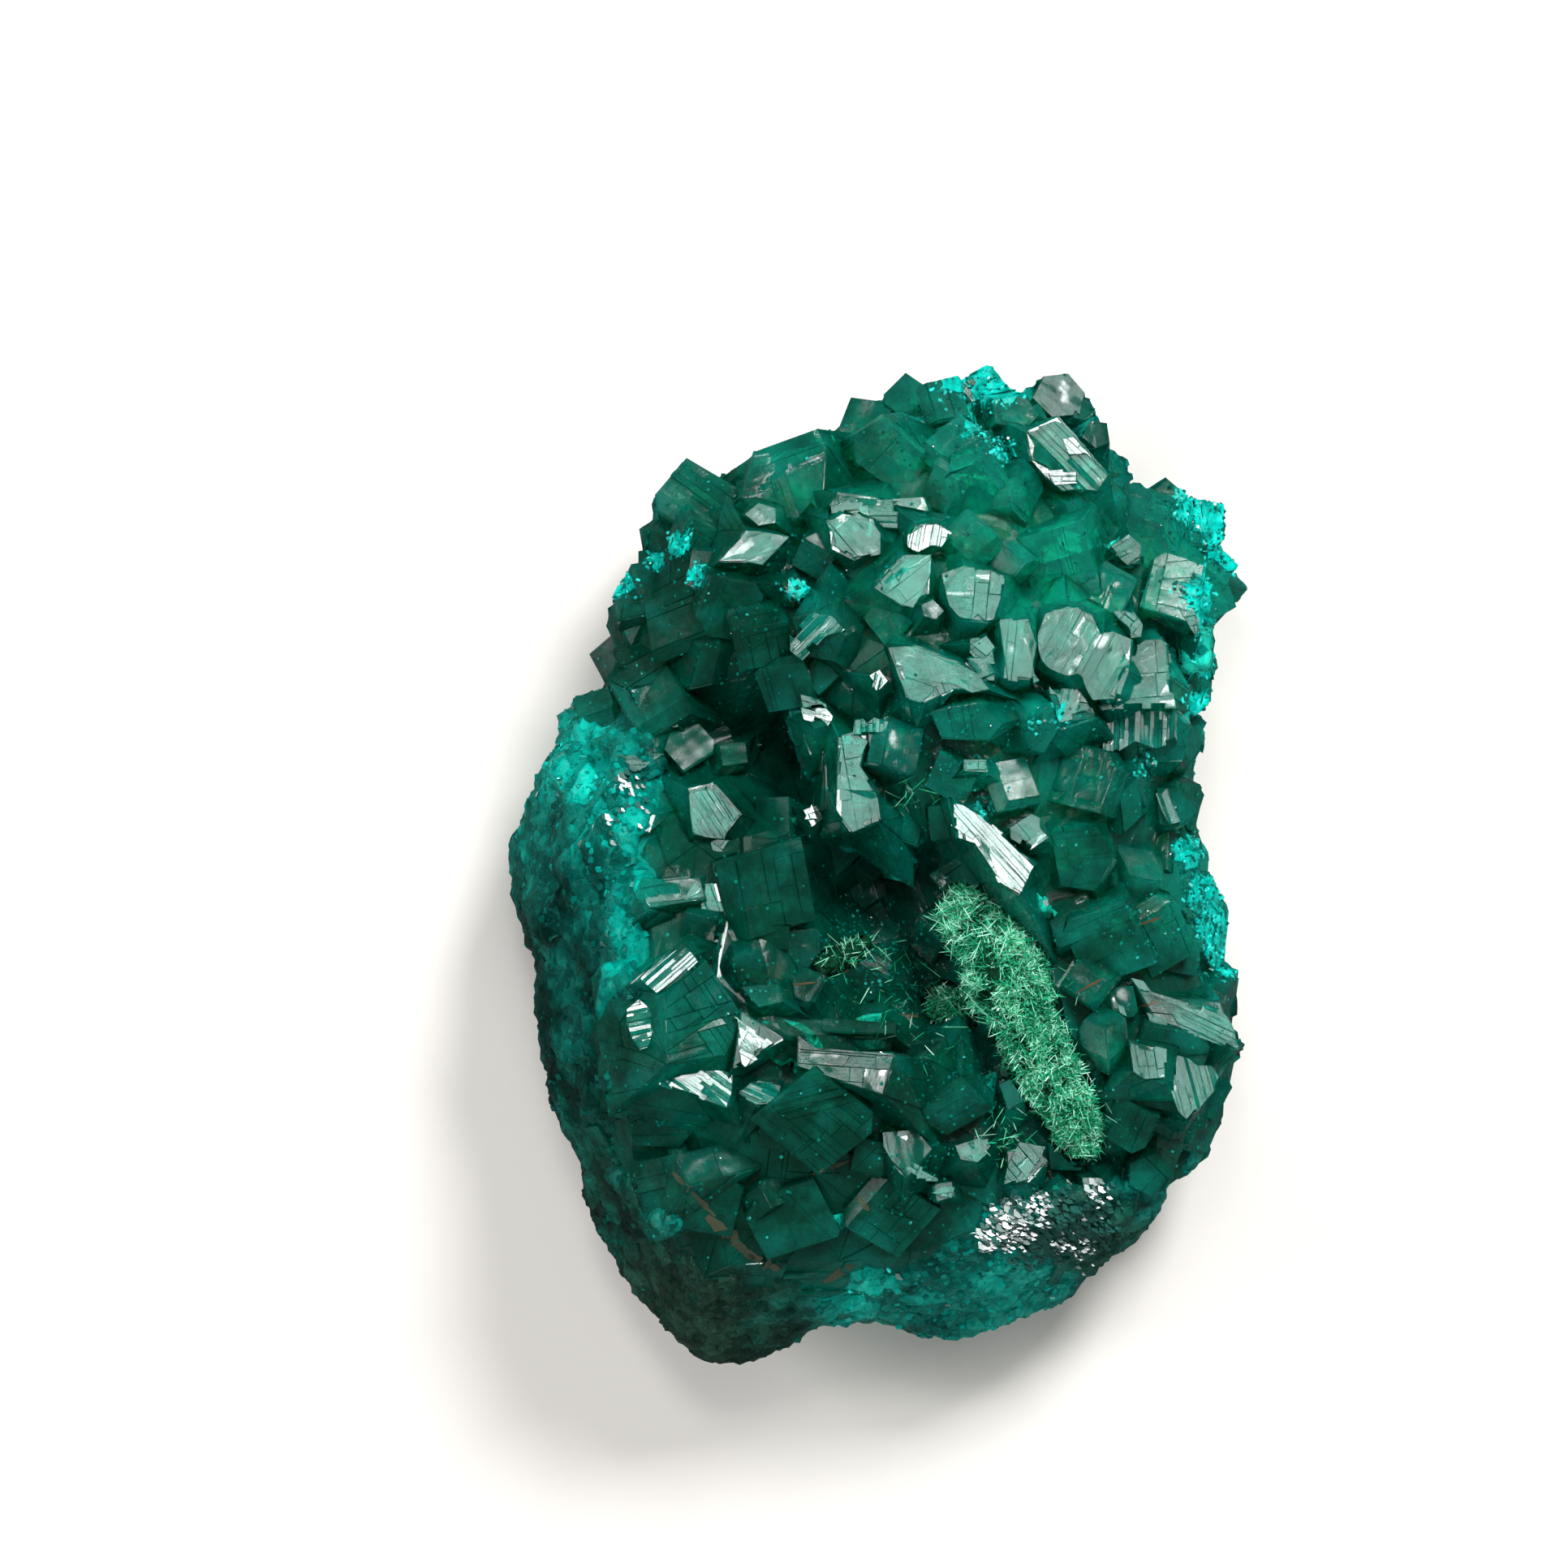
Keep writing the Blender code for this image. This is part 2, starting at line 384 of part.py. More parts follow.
def keep_below(bm, point, normal):
    """Cut a convex form with a plane, drop what lies beyond it and close the cut."""
    everything = bm.verts[:] + bm.edges[:] + bm.faces[:]
    cut = bmesh.ops.bisect_plane(bm, geom=everything, plane_co=point, plane_no=normal, clear_outer=True)
    rim = [item for item in cut["geom_cut"] if isinstance(item, bmesh.types.BMEdge)]
    if rim:
        bmesh.ops.edgeloop_fill(bm, edges=rim)


def slanted(turn, tilt):
    """The unit vector that leans away from +Z by a tilt, towards a turn."""
    return Vector((math.sin(tilt) * math.cos(turn), math.sin(tilt) * math.sin(turn), math.cos(tilt)))


def make_base(collection, material):
    """The massive mineral under the crystals: a rough lump, broken off flat underneath."""
    bm = bmesh.new()
    bmesh.ops.create_icosphere(bm, subdivisions=BASE_SUBDIVISIONS, radius=1.0)
    for vertex in bm.verts:
        direction = vertex.co.normalized()
        point = base_point(direction)
        broad = noise.noise(point / (BROAD_GRAIN_MM * MM)) * BROAD_ROUGHNESS_MM
        fine = noise.noise(point / (GRAIN_MM * MM) + Vector(GRAIN_START)) * ROUGHNESS_MM
        vertex.co = point + direction * (broad + fine) * MM
    for turn, tilt, bite in BREAKS:
        out = slanted(math.radians(turn), math.radians(tilt))
        furthest = max(bm.verts, key=lambda vertex: vertex.co.dot(out))
        keep_below(bm, furthest.co - out * bite * MM, out)
    bmesh.ops.recalc_face_normals(bm, faces=bm.faces)
    bmesh.ops.triangulate(bm, faces=bm.faces)
    base = new_object("dioptase_cluster", bm, collection, material)
    coarse = base.modifiers.new("broken faces", "DECIMATE")
    coarse.ratio = BASE_DETAIL
    apply_modifiers(base)
    return base


def crystal_form(width, length, dice):
    """One crystal with its long axis on Z, as faces cut from a block, a little uneven as real ones are."""
    bm = bmesh.new()
    bmesh.ops.create_cube(bm, size=4 * max(width, length))
    for turn in PRISM_TURNS:
        out = slanted(turn, math.pi / 2)
        keep_below(bm, out * width / 2 * (1 + dice.uniform(-UNEVENNESS, UNEVENNESS)), out)
    for turn in TIP_TURNS:
        tip = Vector((0, 0, length / 2 * (1 + dice.uniform(-UNEVENNESS, UNEVENNESS))))
        keep_below(bm, tip, slanted(turn, RHOMB_TILT))
    for turn in TAIL_TURNS:
        tail = Vector((0, 0, -length / 2 * (1 + dice.uniform(-UNEVENNESS, UNEVENNESS))))
        keep_below(bm, tail, slanted(turn, math.pi - RHOMB_TILT))
    bmesh.ops.recalc_face_normals(bm, faces=bm.faces)
    return bm


def frame_of(normal, along):
    """A rotation whose Z is a face's normal and whose X is a direction in that face."""
    side = (along - normal * along.dot(normal)).normalized()
    return Matrix((side, normal.cross(side), normal)).transposed()


def make_crystal(name, target, normal, along, width, length, lead, dice, collection, material):
    """One crystal whose leading face has its middle at a target, a normal, and the axis turned along."""
    if lead == SIDE:
        own_normal = slanted(PRISM_TURNS[0], math.pi / 2)
        length = length + SIDE_TO_TIPS * width
    else:
        own_normal = slanted(TIP_TURNS[0], RHOMB_TILT)
    bm = crystal_form(width, length, dice)
    face = max(bm.faces, key=lambda item: item.normal.dot(own_normal))
    own = frame_of(own_normal, Vector((0, 0, 1)))
    turned = frame_of(normal, along) @ own.transposed()
    middle = turned @ face.calc_center_median()
    bmesh.ops.transform(bm, matrix=turned.to_4x4(), verts=bm.verts)
    bmesh.ops.translate(bm, vec=target - middle, verts=bm.verts)
    return new_object(name, bm, collection, material)


def make_faced_crystal(name, lean, lean_turn, rise, outline, flares, collection, material):
    """A crystal given by the face that shows: it widens downwards from that face's outline."""
    middle_x = sum(x for x, y in outline) / len(outline) * MM
    middle_y = sum(y for x, y in outline) / len(outline) * MM
    middle = Vector((middle_x, middle_y, base_height(middle_x, middle_y) + rise * MM))
    normal = slanted(math.radians(lean_turn), math.radians(lean))
    bm = bmesh.new()
    corners = []
    for x, y in outline:
        away = Vector((x * MM - middle.x, y * MM - middle.y, 0))
        corners.append(bm.verts.new(middle + away - Vector((0, 0, away.dot(normal) / normal.z))))
    top = bm.faces.new(corners)
    size = sum((corner.co - middle).length for corner in corners) / len(corners)
    depth = min(max(2 * size, FACE_DEPTHS_MM[0] * MM), FACE_DEPTHS_MM[1] * MM)
    sunk = bmesh.ops.extrude_face_region(bm, geom=[top])
    low = [item for item in sunk["geom"] if isinstance(item, bmesh.types.BMVert)]
    for number, vertex in enumerate(low):
        flare = flares[number % len(flares)]
        outward = (vertex.co - middle).normalized()
        vertex.co += outward * depth * flare - normal * depth
        reach = math.hypot(vertex.co.x, vertex.co.y)
        room = rim_radius(math.atan2(vertex.co.y, vertex.co.x)) * FACE_REACH
        if reach > room:
            vertex.co.x *= room / reach
            vertex.co.y *= room / reach
    bmesh.ops.recalc_face_normals(bm, faces=bm.faces)
    return new_object(name, bm, collection, material)


def make_faced_crystals(collection, material, dice):
    """The crystals whose lit faces the table gives."""
    for number, (lean, lean_turn, rise, outline) in enumerate(FACES):
        flares = list(FACE_FLARES)
        dice.shuffle(flares)
        make_faced_crystal(f"face_{number}", lean, lean_turn, rise, outline, flares, collection, material)


def make_shown_crystals(collection, material, dice):
    """The crystals of the table."""
    for number, row in enumerate(CRYSTALS):
        x, y, rise, width, length, lead, axis_turn, lean, lean_turn = row
        x, y = x * MM, y * MM
        target = Vector((x, y, base_height(x, y) + rise * MM))
        normal = slanted(math.radians(lean_turn), math.radians(lean))
        along = slanted(math.radians(axis_turn), math.pi / 2)
        make_crystal(
            f"crystal_{number}", target, normal, along, width * MM, length * MM, lead, dice,
            collection, material,
        )


def make_flank_crystals(span, count, heights, widths, collection, material, dice):
    """Crystals around the flanks of the base, leaning outwards."""
    for number in range(count):
        share = (number + dice.uniform(0.2, 0.8)) / count
        turn = math.radians(span[0] + (span[1] - span[0]) * share)
        height = dice.uniform(*heights)
        dome = max((height - RIM_HEIGHT_MM) / (CROWN_MM - RIM_HEIGHT_MM), 0.0)
        drop = max((RIM_HEIGHT_MM - height) / BELLY_MM, 0.0)
        level = (1 - max(dome, drop) ** DOME_POWER) ** (1 / DOME_POWER)
        radius = rim_radius(turn) * level
        point = Vector((radius * math.cos(turn), radius * math.sin(turn), height * MM))
        tilt = 90 - FLANK_RAISED_DEG * dome + FLANK_LOWERED_DEG * drop + dice.uniform(*FLANK_SPREAD_DEG)
        side_turn = math.radians(dice.uniform(-FLANK_TURN_DEG, FLANK_TURN_DEG))
        normal = slanted(turn + side_turn, math.radians(tilt))
        along = Vector((dice.uniform(-1, 1), dice.uniform(-1, 1), dice.uniform(-1, 1)))
        width = dice.uniform(*widths) * MM
        lead = SIDE if dice.random() < FLANK_SIDES else TIP
        length = width * (FLANK_SIDE_LENGTH if lead == SIDE else dice.uniform(*FLANK_TIP_LENGTHS))
        make_crystal(
            f"flank_{len(collection.objects)}", point + normal * width * FLANK_RISE, normal, along,
            width, length, lead, dice, collection, material,
        )


def make_filling_crystals(collection, material, dice):
    """Small crystals where the tables leave the upper side of the base bare."""
    middles = tuple(
        (sum(x for x, y in row[3]) / len(row[3]), sum(y for x, y in row[3]) / len(row[3])) for row in FACES
    )
    reach = int(max(y for x, y in RIM_MM) / FILL_STEP_MM) + 1
    for row in range(-reach, reach + 1):
        for column in range(-reach, reach + 1):
            x = (column + dice.uniform(-FILL_STRAY, FILL_STRAY)) * FILL_STEP_MM
            y = (row + dice.uniform(-FILL_STRAY, FILL_STRAY)) * FILL_STEP_MM
            rise = dice.uniform(*FILL_RISES_MM)
            width = dice.uniform(*FILL_WIDTHS_MM) * MM
            tilt = math.radians(dice.uniform(*FILL_LEANS_DEG))
            lean_turn = dice.uniform(0, 2 * math.pi)
            along = slanted(dice.uniform(0, 2 * math.pi), math.pi / 2)
            if math.hypot(x, y) * MM > FILL_REACH * rim_radius(math.atan2(y, x)):
                continue
            if x < BARE_LEFT_MM or y < BARE_BELOW_MM:
                continue
            if any(math.hypot(x - item[0], y - item[1]) < FILL_CLEARANCE_MM for item in CRYSTALS + middles):
                continue
            target = Vector((x * MM, y * MM, base_height(x * MM, y * MM) + rise * MM))
            make_crystal(
                f"filling_{row}_{column}", target, slanted(lean_turn, tilt), along, width,
                width * FILL_LENGTH, TIP, dice, collection, material,
            )


def malachite_form(name, line, collection, material):
    """A lumpy seam of felted needles that follows its middle line over the base."""
    curve = bpy.data.curves.new(name, "CURVE")
    curve.dimensions = "3D"
    curve.bevel_depth = MM
    curve.bevel_resolution = 2
    curve.resolution_u = 4
    curve.use_fill_caps = True
    spline = curve.splines.new("NURBS")
    spline.points.add(len(line) - 1)
    for point, (x, y, rise, half_width) in zip(spline.points, line):
        height = base_height(x * MM, y * MM) + rise * MM
        point.co = (x * MM, y * MM, height, 1.0)
        point.radius = half_width
    spline.use_endpoint_u = True
    spline.order_u = 3
    tube = bpy.data.objects.new(name, curve)
    collection.objects.link(tube)
    bpy.context.view_layer.update()
    mesh = bpy.data.meshes.new_from_object(tube.evaluated_get(bpy.context.evaluated_depsgraph_get()))
    bpy.data.objects.remove(tube, do_unlink=True)
    bpy.data.curves.remove(curve)
    bm = bmesh.new()
    bm.from_mesh(mesh)
    bpy.data.meshes.remove(mesh)
    bmesh.ops.remove_doubles(bm, verts=bm.verts, dist=MERGE_MM * MM)
    bmesh.ops.recalc_face_normals(bm, faces=bm.faces)
    for vertex in bm.verts:
        lump = noise.noise(vertex.co / (MALACHITE_GRAIN_MM * MM))
        vertex.co += vertex.normal * lump * MALACHITE_LUMPS_MM * MM
    return new_object(name, bm, collection, material)


def groove_for(piece, collection):
    """The room that a piece needs in the crystals: its own form, larger by the gap all round."""
    bm = bmesh.new()
    bm.from_mesh(piece.data)
    bm.normal_update()
    for vertex in bm.verts:
        vertex.co += vertex.normal * GAP_MM * MM
    cutter = new_object("groove_" + piece.name, bm, collection, piece.data.materials[0])
    cutter.hide_render = True
    cutter.display_type = "WIRE"
    return cutter


def ground_block(collection, material):
    """The room under the surface that the specimen rests on, where its back is broken off flat."""
    bm = bmesh.new()
    bmesh.ops.create_cube(bm, size=GROUND_BLOCK_MM * MM)
    bmesh.ops.translate(bm, vec=(0, 0, -GROUND_BLOCK_MM * MM / 2), verts=bm.verts)
    cutter = new_object("ground", bm, collection, material)
    cutter.hide_render = True
    cutter.display_type = "WIRE"


def apply_modifiers(thing):
    """Replace an object's mesh by what its modifiers make of it."""
    bpy.context.view_layer.update()
    mesh = bpy.data.meshes.new_from_object(thing.evaluated_get(bpy.context.evaluated_depsgraph_get()))
    thing.modifiers.clear()
    thing.data = mesh


def boolean(thing, operation, collection):
    """Join an object with, or cut it by, everything in a collection."""
    step = thing.modifiers.new(operation.lower(), "BOOLEAN")
    step.operation = operation
    step.operand_type = "COLLECTION"
    step.collection = collection
    step.solver = "EXACT"


def keep_outer_shell(thing):
    """Drop the walls of the small hollows that the crystals enclose between them."""
    bm = bmesh.new()
    bm.from_mesh(thing.data)
    bmesh.ops.triangulate(bm, faces=bm.faces)
    shells = []
    seen = set()
    for first in bm.faces:
        if first in seen:
            continue
        seen.add(first)
        shell = [first]
        for face in shell:
            for edge in face.edges:
                if len(edge.link_faces) != 2:
                    continue
                for neighbour in edge.link_faces:
                    if neighbour not in seen:
                        seen.add(neighbour)
                        shell.append(neighbour)
        shells.append(shell)
    shells.sort(key=len)
    for shell in shells[:-1]:
        bmesh.ops.delete(bm, geom=shell, context="FACES")
    bm.to_mesh(thing.data)
    bm.free()


def stand_on_origin(collection):
    """Move the parts so that the origin lies under the middle of their box."""
    corners = [vertex.co for thing in collection.objects for vertex in thing.data.vertices]
    low_x, high_x = min(corner.x for corner in corners), max(corner.x for corner in corners)
    low_y, high_y = min(corner.y for corner in corners), max(corner.y for corner in corners)
    shift = Vector((-(low_x + high_x) / 2, -(low_y + high_y) / 2, 0.0))
    for thing in collection.objects:
        thing.data.transform(Matrix.Translation(shift))


def main():
    """Build the specimen."""
    remove_everything()
    parts = new_collection("dioptase_specimen")
    grown = new_collection("crystals")
    grooves = new_collection("grooves")
    dice = random.Random(SEED)
    dioptase = mineral("dioptase", (0.0, 0.11, 0.055), 0.12)
    malachite = mineral("malachite", (0.05, 0.36, 0.12), 0.7)

    cluster = make_base(parts, dioptase)
    make_faced_crystals(grown, dioptase, dice)
    make_shown_crystals(grown, dioptase, dice)
    make_flank_crystals(
        FLANK_SPAN_DEG, FLANK_COUNT, FLANK_HEIGHTS_MM, FLANK_WIDTHS_MM, grown, dioptase, dice
    )
    make_flank_crystals(WALL_SPAN_DEG, WALL_COUNT, WALL_HEIGHTS_MM, WALL_WIDTHS_MM, grown, dioptase, dice)
    make_filling_crystals(grown, dioptase, dice)
    boolean(cluster, "UNION", grown)
    apply_modifiers(cluster)
    for thing in list(grown.objects):
        bpy.data.objects.remove(thing, do_unlink=True)

    seams = (("malachite_band", BAND_MM), ("malachite_patch", PATCH_MM), ("malachite_tuft", TUFT_MM))
    for name, line in seams:
        piece = malachite_form(name, line, parts, malachite)
        groove_for(piece, grooves)
    ground_block(grooves, dioptase)
    boolean(cluster, "DIFFERENCE", grooves)
    apply_modifiers(cluster)
    keep_outer_shell(cluster)
    simpler = cluster.modifiers.new("fewer slivers", "DECIMATE")
    simpler.ratio = CLUSTER_DETAIL
    apply_modifiers(cluster)
    stand_on_origin(parts)


main()
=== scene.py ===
"""Dresses the dioptase specimen: glassy emerald crystals on massive dioptase, felted malachite in the
clefts, and a soft studio light over a plain pale floor."""

import math
import random

import bmesh
import bpy
import numpy as np
from mathutils import Matrix, Vector, noise
from mathutils.bvhtree import BVHTree


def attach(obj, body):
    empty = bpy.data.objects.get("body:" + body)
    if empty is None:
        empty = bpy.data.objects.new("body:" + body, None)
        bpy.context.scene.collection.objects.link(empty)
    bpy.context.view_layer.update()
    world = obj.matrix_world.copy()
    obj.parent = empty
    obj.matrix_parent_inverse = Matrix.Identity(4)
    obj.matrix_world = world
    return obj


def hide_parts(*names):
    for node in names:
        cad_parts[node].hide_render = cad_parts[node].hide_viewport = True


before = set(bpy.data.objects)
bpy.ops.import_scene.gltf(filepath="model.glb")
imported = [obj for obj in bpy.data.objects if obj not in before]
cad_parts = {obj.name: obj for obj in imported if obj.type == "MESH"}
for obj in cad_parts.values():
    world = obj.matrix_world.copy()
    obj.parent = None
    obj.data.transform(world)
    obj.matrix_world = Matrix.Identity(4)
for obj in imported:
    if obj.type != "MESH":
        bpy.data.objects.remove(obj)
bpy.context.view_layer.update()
MM = 0.001


# Massive dioptase
# The fine-grained, cloudy mineral that the crystals grew out of. It lies bare along the left wall, the
# lower edge and the underside. Everywhere else it lies under the clear crystals, coloured far brighter
# there as a painted glow that shows through them.
GRAIN_SIZE = 0.24 * MM
SAME_PLACE = 1e-7
SKIN_SUNK = 1.15 * MM
SKIN_PROUD = 0.22 * MM
COVER_FADE = 0.7 * MM
LOW_FLANK = 3.4 * MM
FLANK_FADE = 0.8 * MM
# The corners of the area that the crystals cover, seen from above.
COVERED_MM = (
    (-8.4, 5.2), (-7.6, 3.6), (-8.3, 1.2), (-8.0, -0.6), (-8.5, -2.2), (-8.9, -4.4), (-9.9, -5.0),
    (-9.9, -8.2), (-9.6, -10.0), (-8.4, -12.0), (-6.5, -14.2), (-4.0, -15.0), (-1.4, -15.0),
    (0.6, -14.2), (2.8, -13.2), (4.0, -12.0), (6.2, -11.6), (8.4, -11.2), (9.6, -11.9), (11.4, -10.8),
    (14.5, -8.0), (14.5, 15.0), (8.0, 19.5), (-3.0, 18.5), (-9.0, 14.8), (-11.2, 8.0), (-12.0, 5.4),
)
# Zones of the massive mineral: x, y and radius in millimetres, then how bright and how grey it is.
# Under the crystals, and in the crystals' own colour, the brightness is partly the mineral's tone and
# partly a painted glow and painted shade.
MASSIVE_ZONES = (
    (-11.0, 3.4, 1.7, 1.0, 0.0), (-9.4, 2.2, 1.5, 0.85, 0.0), (-9.2, -1.6, 1.2, 0.95, 0.0),
    (-9.0, -3.4, 0.9, 0.7, 0.0), (-12.6, 0.6, 1.5, 0.45, 0.1), (-11.6, -3.0, 1.8, 0.12, 0.1),
    (-11.0, -7.0, 2.2, 0.15, 0.1), (-10.0, -11.0, 1.8, 0.1, 0.5), (-6.6, -16.4, 2.6, 0.05, 1.0),
    (-3.6, -16.6, 1.5, 0.25, 0.5), (-0.6, -15.6, 1.4, 0.85, 0.1), (2.0, -15.6, 1.3, 0.45, 0.2),
    (5.0, -15.0, 1.6, 0.8, 0.0), (3.2, -14.0, 1.3, 0.6, 0.0), (7.6, -13.4, 1.5, 0.2, 0.8),
    (10.2, -11.6, 1.3, 0.3, 0.2), (3.0, 14.0, 2.6, 0.8, 0.0), (7.2, 11.0, 2.4, 0.9, 0.0),
    (11.6, 11.0, 2.0, 1.0, 0.0), (10.8, 6.0, 2.0, 0.8, 0.0), (4.6, 6.0, 2.4, 0.75, 0.0),
    (11.8, -2.0, 1.8, 1.0, 0.0), (2.6, 3.6, 2.0, 0.5, 0.0), (-7.4, 13.6, 1.6, 0.5, 0.2),
    (-3.2, 14.0, 2.0, 0.5, 0.2), (-6.4, 8.6, 2.8, 0.0, 0.0), (-4.2, -0.4, 2.6, 0.0, 0.0),
    (-1.6, -8.6, 2.6, 0.08, 0.0), (0.4, -3.6, 2.6, 0.0, 0.0), (-7.4, -5.4, 1.8, 0.4, 0.0),
    (10.0, -5.5, 2.4, 0.35, 0.0), (-4.8, -12.6, 2.2, 0.1, 0.1), (1.6, -12.4, 1.8, 0.05, 0.0),
)
# How bright and how grey it is away from the zones, and the weights of that and of a zone's middle.
PLAIN_BRIGHT = 0.35
PLAIN_GREY = 0.1
PLAIN_WEIGHT = 0.35
ZONE_WEIGHT = 3.0
# Colours of the bare mineral, its painted glow under the crystals, the stony areas and painted glints.
DEEP_GREEN = (0.0, 0.026, 0.018)
SEA_GREEN = (0.0, 0.13, 0.10)
TURQUOISE = (0.0, 0.34, 0.27)
PAINTED_GLOW_TONES = ((0.0, 0.16, 0.09), (0.02, 0.92, 0.70))
STONY = ((0.003, 0.022, 0.013), (0.02, 0.06, 0.038))
PAINTED_GLINT_COLOUR = (0.04, 0.50, 0.42)
MASSIVE_SPECULAR = 0.35


def new_object(name, data):
    """An object at the origin that holds a mesh, a camera or a lamp."""
    made = bpy.data.objects.new(name, data)
    bpy.context.scene.collection.objects.link(made)
    return made


def merged_copy(node_name):
    """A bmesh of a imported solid, its triangles joined to one another."""
    bm = bmesh.new()
    bm.from_mesh(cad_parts[node_name].data)
    bmesh.ops.remove_doubles(bm, verts=bm.verts, dist=SAME_PLACE)
    return bm


def mesh_of(bm, name):
    """A mesh made from a bmesh, which is let go."""
    mesh = bpy.data.meshes.new(name)
    bm.to_mesh(mesh)
    bm.free()
    return mesh


def finished(piece):
    """Replace a piece's mesh by what its modifiers make of it."""
    bpy.context.view_layer.update()
    mesh = bpy.data.meshes.new_from_object(piece.evaluated_get(bpy.context.evaluated_depsgraph_get()))
    piece.modifiers.clear()
    old = piece.data
    piece.data = mesh
    mesh.name = piece.name
    bpy.data.meshes.remove(old)


def places_of(mesh):
    """The places of a mesh's vertices, as rows."""
    places = np.empty(len(mesh.vertices) * 3, np.float32)
    mesh.vertices.foreach_get("co", places)
    return places.reshape(-1, 3)


def normals_of(mesh):
    """The directions that a mesh's vertices face, as rows."""
    normals = np.empty(len(mesh.vertices) * 3, np.float32)
    mesh.vertex_normals.foreach_get("vector", normals)
    return normals.reshape(-1, 3)


def mark(mesh, name, values):
    """Keep one number for each vertex under a name that materials and node trees read."""
    layer = mesh.attributes.new(name, "FLOAT", "POINT")
    layer.data.foreach_set("value", np.ascontiguousarray(values, np.float32))


def outside_cover(places):
    """How far each place lies outside the crystals' cover, seen from above; negative inside it."""
    x, y = places[:, 0], places[:, 1]
    nearest = np.full(len(places), 1.0)
    inside = np.zeros(len(places), bool)
    corners = np.array(COVERED_MM) * MM
    for start, end in zip(corners, np.roll(corners, -1, axis=0)):
        along = end - start
        share = ((x - start[0]) * along[0] + (y - start[1]) * along[1]) / along.dot(along)
        share = np.clip(share, 0.0, 1.0)
        gap = np.hypot(x - start[0] - share * along[0], y - start[1] - share * along[1])
        nearest = np.minimum(nearest, gap)
        rising = (start[1] > y) != (end[1] > y)
        crossing = start[0] + (y - start[1]) * along[0] / (along[1] if along[1] else 1e-12)
        inside ^= rising & (x < crossing)
    return np.where(inside, -nearest, nearest)


def zone_values(places):
    """How bright and how grey the massive mineral is at each place, blended between its zones."""
    total = np.full(len(places), PLAIN_WEIGHT)
    bright = np.full(len(places), PLAIN_WEIGHT * PLAIN_BRIGHT)
    grey = np.full(len(places), PLAIN_WEIGHT * PLAIN_GREY)
    for x, y, radius, brightness, greyness in MASSIVE_ZONES:
        distance = np.hypot(places[:, 0] - x * MM, places[:, 1] - y * MM) / (radius * MM)
        weight = np.exp(-distance ** 2 * 1.2) * ZONE_WEIGHT
        total += weight
        bright += weight * brightness
        grey += weight * greyness
    return bright / total, grey / total


massive = new_object("massive_dioptase", mesh_of(merged_copy("dioptase_cluster"), "massive"))
regrained = massive.modifiers.new("grains", "REMESH")
regrained.mode = "VOXEL"
regrained.voxel_size = GRAIN_SIZE
finished(massive)
places = places_of(massive.data)
normals = normals_of(massive.data)
ragged = np.sin(places[:, 0] * 2300) * np.sin(places[:, 1] * 1900 + 1) * np.sin(places[:, 2] * 2100)
bare = np.maximum.reduce([
    outside_cover(places) / COVER_FADE + 0.9 * ragged,
    (LOW_FLANK - places[:, 2]) / FLANK_FADE + 1.2 * ragged,
    -normals[:, 2] * 2.0 - 0.4,
])
bare = np.clip(bare + 0.5, 0.0, 1.0)
covered_group = massive.vertex_groups.new(name="covered")
bare_group = massive.vertex_groups.new(name="bare")
for index, value in enumerate(bare.tolist()):
    covered_group.add([index], 1.0 - value, "REPLACE")
    bare_group.add([index], value, "REPLACE")
for name, iterations, group in (("sunk smooth", 14, "covered"), ("worn smooth", 5, "bare")):
    relaxed = massive.modifiers.new(name, "SMOOTH")
    relaxed.factor = 0.6
    relaxed.iterations = iterations
    relaxed.vertex_group = group
for name, strength, group in (("sunk", -SKIN_SUNK, "covered"), ("proud", SKIN_PROUD, "bare")):
    moved = massive.modifiers.new(name, "DISPLACE")
    moved.strength = strength
    moved.mid_level = 0.0
    moved.vertex_group = group
for name, size, strength in (("lumps", 1.3 * MM, 0.55 * MM), ("sugar", 0.38 * MM, 0.42 * MM)):
    clouds = bpy.data.textures.new(name, "CLOUDS")
    clouds.noise_scale = size
    clouds.noise_depth = 2
    rough = massive.modifiers.new(name, "DISPLACE")
    rough.texture = clouds
    rough.texture_coords = "LOCAL"
    rough.strength = strength
    rough.mid_level = 0.5
    rough.vertex_group = "bare"
veiled = 1.0 - bare
finished(massive)
places = places_of(massive.data)
places[:, 2] = np.maximum(places[:, 2], 0.0)
massive.data.vertices.foreach_set("co", places.ravel())
brightness, greyness = zone_values(places)
mark(massive.data, "bright", brightness)
mark(massive.data, "veiled", veiled)
mark(massive.data, "grey", greyness)
massive.data.shade_smooth()


